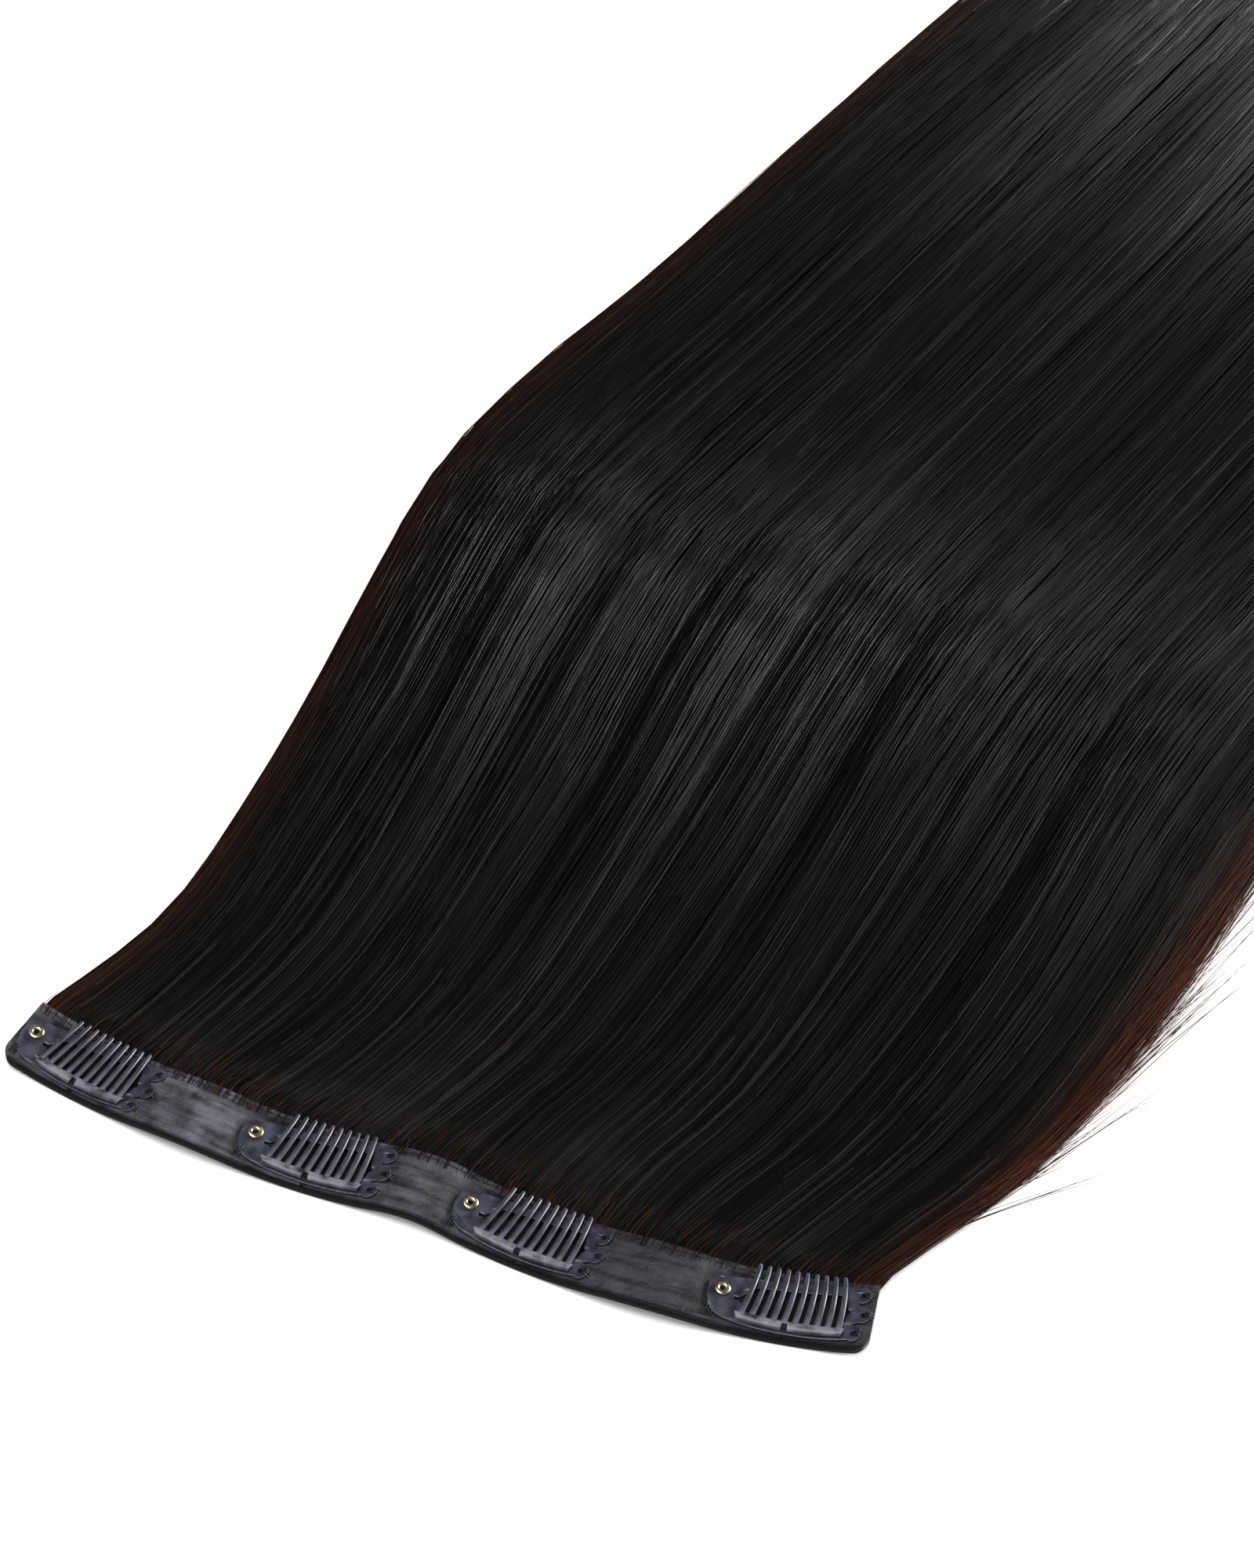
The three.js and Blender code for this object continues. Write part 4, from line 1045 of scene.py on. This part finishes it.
def bright_brass():
    """Lacquered brass: pale gold, mirror-like on the roll, with brown tarnish in patches."""
    material, tree, shader = new_material("bright_brass", {"Metallic": 1})
    place = add(tree, "ShaderNodeTexCoord").outputs["Object"]
    blots = add(tree, NOISE, {"Vector": place, "Scale": 1 / (0.9 * MM), "Detail": 3})
    share = add(tree, RANGE, (blots, 0.45, 0.7))
    colour = add(tree, MIX, (share, linear(BRASS_BRIGHT), linear(BRASS_TARNISH)), data_type="RGBA")
    gloss = add(tree, RANGE, (blots, 0.4, 0.7, 0.2, 0.4))
    fill(tree, shader, {"Base Color": colour, "Roughness": gloss})
    return material


eyelet_brass = bright_brass()
eyelet_mesh = eyelet()
for k in clips:
    clip_piece(f"clip_{k + 1}_eyelet", eyelet_mesh, k, eyelet_brass, f"clip_{k + 1}_rivet", "weft")


# Black polyester thread holds everything: loops through the lobes' holes, a wrap round each
# clip's lower bar, stitches at its narrow end, and a row along the edge where the hair is sewn in.
CLIP_THREAD = 0.34
SEAM_THREAD = 0.3
SEAM_PITCH = 2.6
SEAM_ACROSS = 15.7
LOOP_REACH = 2.2
THREAD_JITTER = 0.12
THREAD_DARK = 0x050506
THREAD_SHINE = 0x19191C


def clip_stitches(k):
    """The two ends of each stitch that holds clip k, in the clip's own millimetres."""
    rng = np.random.default_rng(100 + k)
    top, under = BAND_THICKNESS + GAP + PLATE, BAND_THICKNESS - 0.2
    pairs = []
    for short, up in LOBES:
        x = CLIP_LENGTH * (1 - short) - LOBE_RADIUS + 0.3
        y = up * CLIP_WIDTH
        for spread in (-0.7, 0, 0.7):
            pairs.append(((x, y + spread * 0.4, top - 0.3), (x + LOOP_REACH, y + spread, under), 1.0))
    middle = CLIP_LENGTH / 2
    for shift in (-0.45, -0.1, 0.25):
        pairs.append(((middle + shift, -0.6, under), (middle + shift + 0.3, LOWER_BAR + 0.2, under), 1.1))
    for shift in (0, 0.5, 1.0):
        pairs.append(((1.2 + shift, 4.2 + shift * 0.3, top - 0.5), (0.8 + shift * 1.3, 0.6, under), 0.8))
    stitches = []
    for start, end, rise in pairs:
        bow = [CLIP_BOW * (2 * point[0] / CLIP_LENGTH - 1) ** 2 for point in (start, end)]
        jitter = rng.uniform(-THREAD_JITTER, THREAD_JITTER, 4)
        start = (start[0] + jitter[0], start[1] + jitter[1], start[2] + bow[0])
        end = (end[0] + jitter[2], end[1] + jitter[3], end[2] + bow[1])
        stitches.append((start, end, rise))
    return stitches


STITCH_SIZES = {"Radius": CLIP_THREAD / 2 * MM, "Steps": 9}


def stitch_tree():
    """Turns each edge of a mesh into one arched stitch of thread."""
    tree, given = new_tree("stitches", "Edges", STITCH_SIZES)
    thread = add(tree, "GeometryNodeMeshToCurve", {"Mesh": given["Edges"]})
    thread = add(tree, "GeometryNodeResampleCurve", {"Curve": thread, "Count": given["Steps"]})
    factor = add(tree, "GeometryNodeSplineParameter").outputs["Factor"]
    turn = add(tree, MATH, (factor, math.pi), operation="MULTIPLY")
    hump = add(tree, MATH, (turn,), operation="SINE")
    lift = add(tree, MATH, (hump, add(tree, READ, {"Name": "rise"})), operation="MULTIPLY")
    offset = add(tree, PLACE, {"Z": lift})
    thread = add(tree, "GeometryNodeSetPosition", {"Geometry": thread, "Offset": offset})
    section = add(tree, "GeometryNodeCurvePrimitiveCircle", {"Resolution": 6, "Radius": given["Radius"]})
    mesh = add(tree, "GeometryNodeCurveToMesh",
               {"Curve": thread, "Profile Curve": section, "Fill Caps": True})
    end_tree(tree, add(tree, "GeometryNodeSetShadeSmooth", {"Geometry": mesh}), given)
    return tree


def stitched(name, stitches, thickness, tree, material):
    """Thread along stitches, each given by its two ends and its rise in millimetres."""
    points = np.array([end for start, finish, _ in stitches for end in (start, finish)]) * MM
    edges = np.arange(len(points)).reshape(-1, 2)
    mesh = bpy.data.meshes.new(name)
    mesh.from_pydata(points.tolist(), edges.tolist(), [])
    keep_numbers(mesh, "rise", np.repeat([rise * MM for _, _, rise in stitches], 2))
    piece = grown(name, mesh, tree, STITCH_SIZES | {"Radius": thickness / 2 * MM, "Material": material})
    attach(piece, "weft")
    return piece


def sewing_thread():
    """Bonded polyester thread: black, twisted, with a faint waxy shine on each ply."""
    material, tree, shader = new_material("sewing_thread", {})
    place = add(tree, "ShaderNodeTexCoord").outputs["Object"]
    # The plies are drawn 1.6 mm apart, about twice as coarse as they are, so that they show.
    ply = add(tree, "ShaderNodeTexWave", {"Vector": place, "Scale": 1 / (2.5 * MM), "Distortion": 2},
              bands_direction="DIAGONAL")
    colour = add(tree, MIX, (ply.outputs["Fac"], linear(THREAD_DARK), linear(THREAD_SHINE)), data_type="RGBA")
    bump = add(tree, "ShaderNodeBump", {"Height": ply.outputs["Fac"], "Distance": 0.08 * MM, "Strength": 0.6})
    fill(tree, shader, {"Base Color": colour, "Normal": bump})
    return material


black_thread = sewing_thread()
stitches_of = stitch_tree()
for k in clips:
    place = clip_place(k)
    sewn = [(place @ Vector(start) / MM, place @ Vector(end) / MM, rise)
            for start, end, rise in clip_stitches(k)]
    stitched(f"clip_{k + 1}_thread", sewn, CLIP_THREAD, stitches_of, black_thread)

seam = []
for s in np.arange(1.5, BAND_LENGTH - 1.5, SEAM_PITCH):
    near = band_point(s, SEAM_ACROSS, BAND_THICKNESS - 0.05)
    far = band_point(s + 0.5, BAND_WIDTH + 0.1, 0.5)
    seam.append((near, far, 0.5))
    ahead = band_point(min(s + SEAM_PITCH * 0.85, BAND_LENGTH - 1), SEAM_ACROSS, BAND_THICKNESS - 0.05)
    seam.append((near, ahead, 0.16))
stitched("seam_thread", seam, SEAM_THREAD, stitches_of, black_thread)


# The floor is a matt white sheet that runs on far behind the hair, under soft studio light. The
# camera stands where the photograph was taken from.
FLOOR_SIZE = 60
CAMERA_AZIMUTH = 22.224
CAMERA_ELEVATION = 50
CAMERA_DISTANCE = 1.0
CAMERA_LENS = 99.69
CAMERA_TARGET = (-0.05197, -0.11580, 0)

half = FLOOR_SIZE / MM / 2
corners = [(-half, -half, 0), (half, -half, 0), (half, half, 0), (-half, half, 0)]
floor = new_mesh("floor", corners, [(0, 1, 2, 3)])
floor_looks = {"Base Color": linear(0xF4F4F3), "Roughness": 0.9, "Specular IOR Level": 0.1}
floor.data.materials.append(new_material("floor_paint", floor_looks)[0])

world = bpy.data.worlds.new("studio")
world.use_nodes = True
sky = world.node_tree.nodes["Background"]
# The studio's walls are white up to a low height and dark above, so that black hair stays black.
direction = add(world.node_tree, "ShaderNodeTexCoord").outputs["Generated"]
height = add(world.node_tree, SPLIT, (direction,))
wall = add(world.node_tree, RANGE, (height.outputs["Z"], 0.0, 0.06, 0.6, 0.06))
fill(world.node_tree, sky, {"Color": linear(0xFFFFFF), "Strength": wall})
bpy.context.scene.world = world


def aim(thing, azimuth, elevation, distance, target=(0, 0, 0)):
    """Puts a lamp or the camera away from a target, in a direction in degrees, and turns it there."""
    a, e = math.radians(azimuth), math.radians(elevation)
    back = Vector((math.sin(a) * math.cos(e), -math.cos(a) * math.cos(e), math.sin(e)))
    thing.location = Vector(target) + back * distance
    thing.rotation_euler = (-back).to_track_quat("-Z", "Y").to_euler()


def soft_light(name, azimuth, elevation, spread, power):
    """A large far lamp that lights the whole floor evenly; its spread in degrees softens shadows."""
    lamp = bpy.data.lights.new(name, "SUN")
    lamp.angle = math.radians(spread)
    lamp.energy = power
    light = placed(name, lamp)
    aim(light, azimuth, elevation, 3)
    return light


soft_light("key_light", -35, 78, 34, 1.9)
soft_light("back_light", 138, 17, 13, 4.6)
# The fill is bounced light without a shape of its own, so it makes no highlight.
soft_light("fill_light", 20, 70, 90, 2.7).visible_glossy = False

camera_data = bpy.data.cameras.new("camera")
camera_data.sensor_width = 36
camera_data.lens = CAMERA_LENS
camera = placed("camera", camera_data)
aim(camera, CAMERA_AZIMUTH, CAMERA_ELEVATION, CAMERA_DISTANCE, CAMERA_TARGET)
bpy.context.scene.camera = camera
bpy.context.scene.view_settings.view_transform = "Standard"
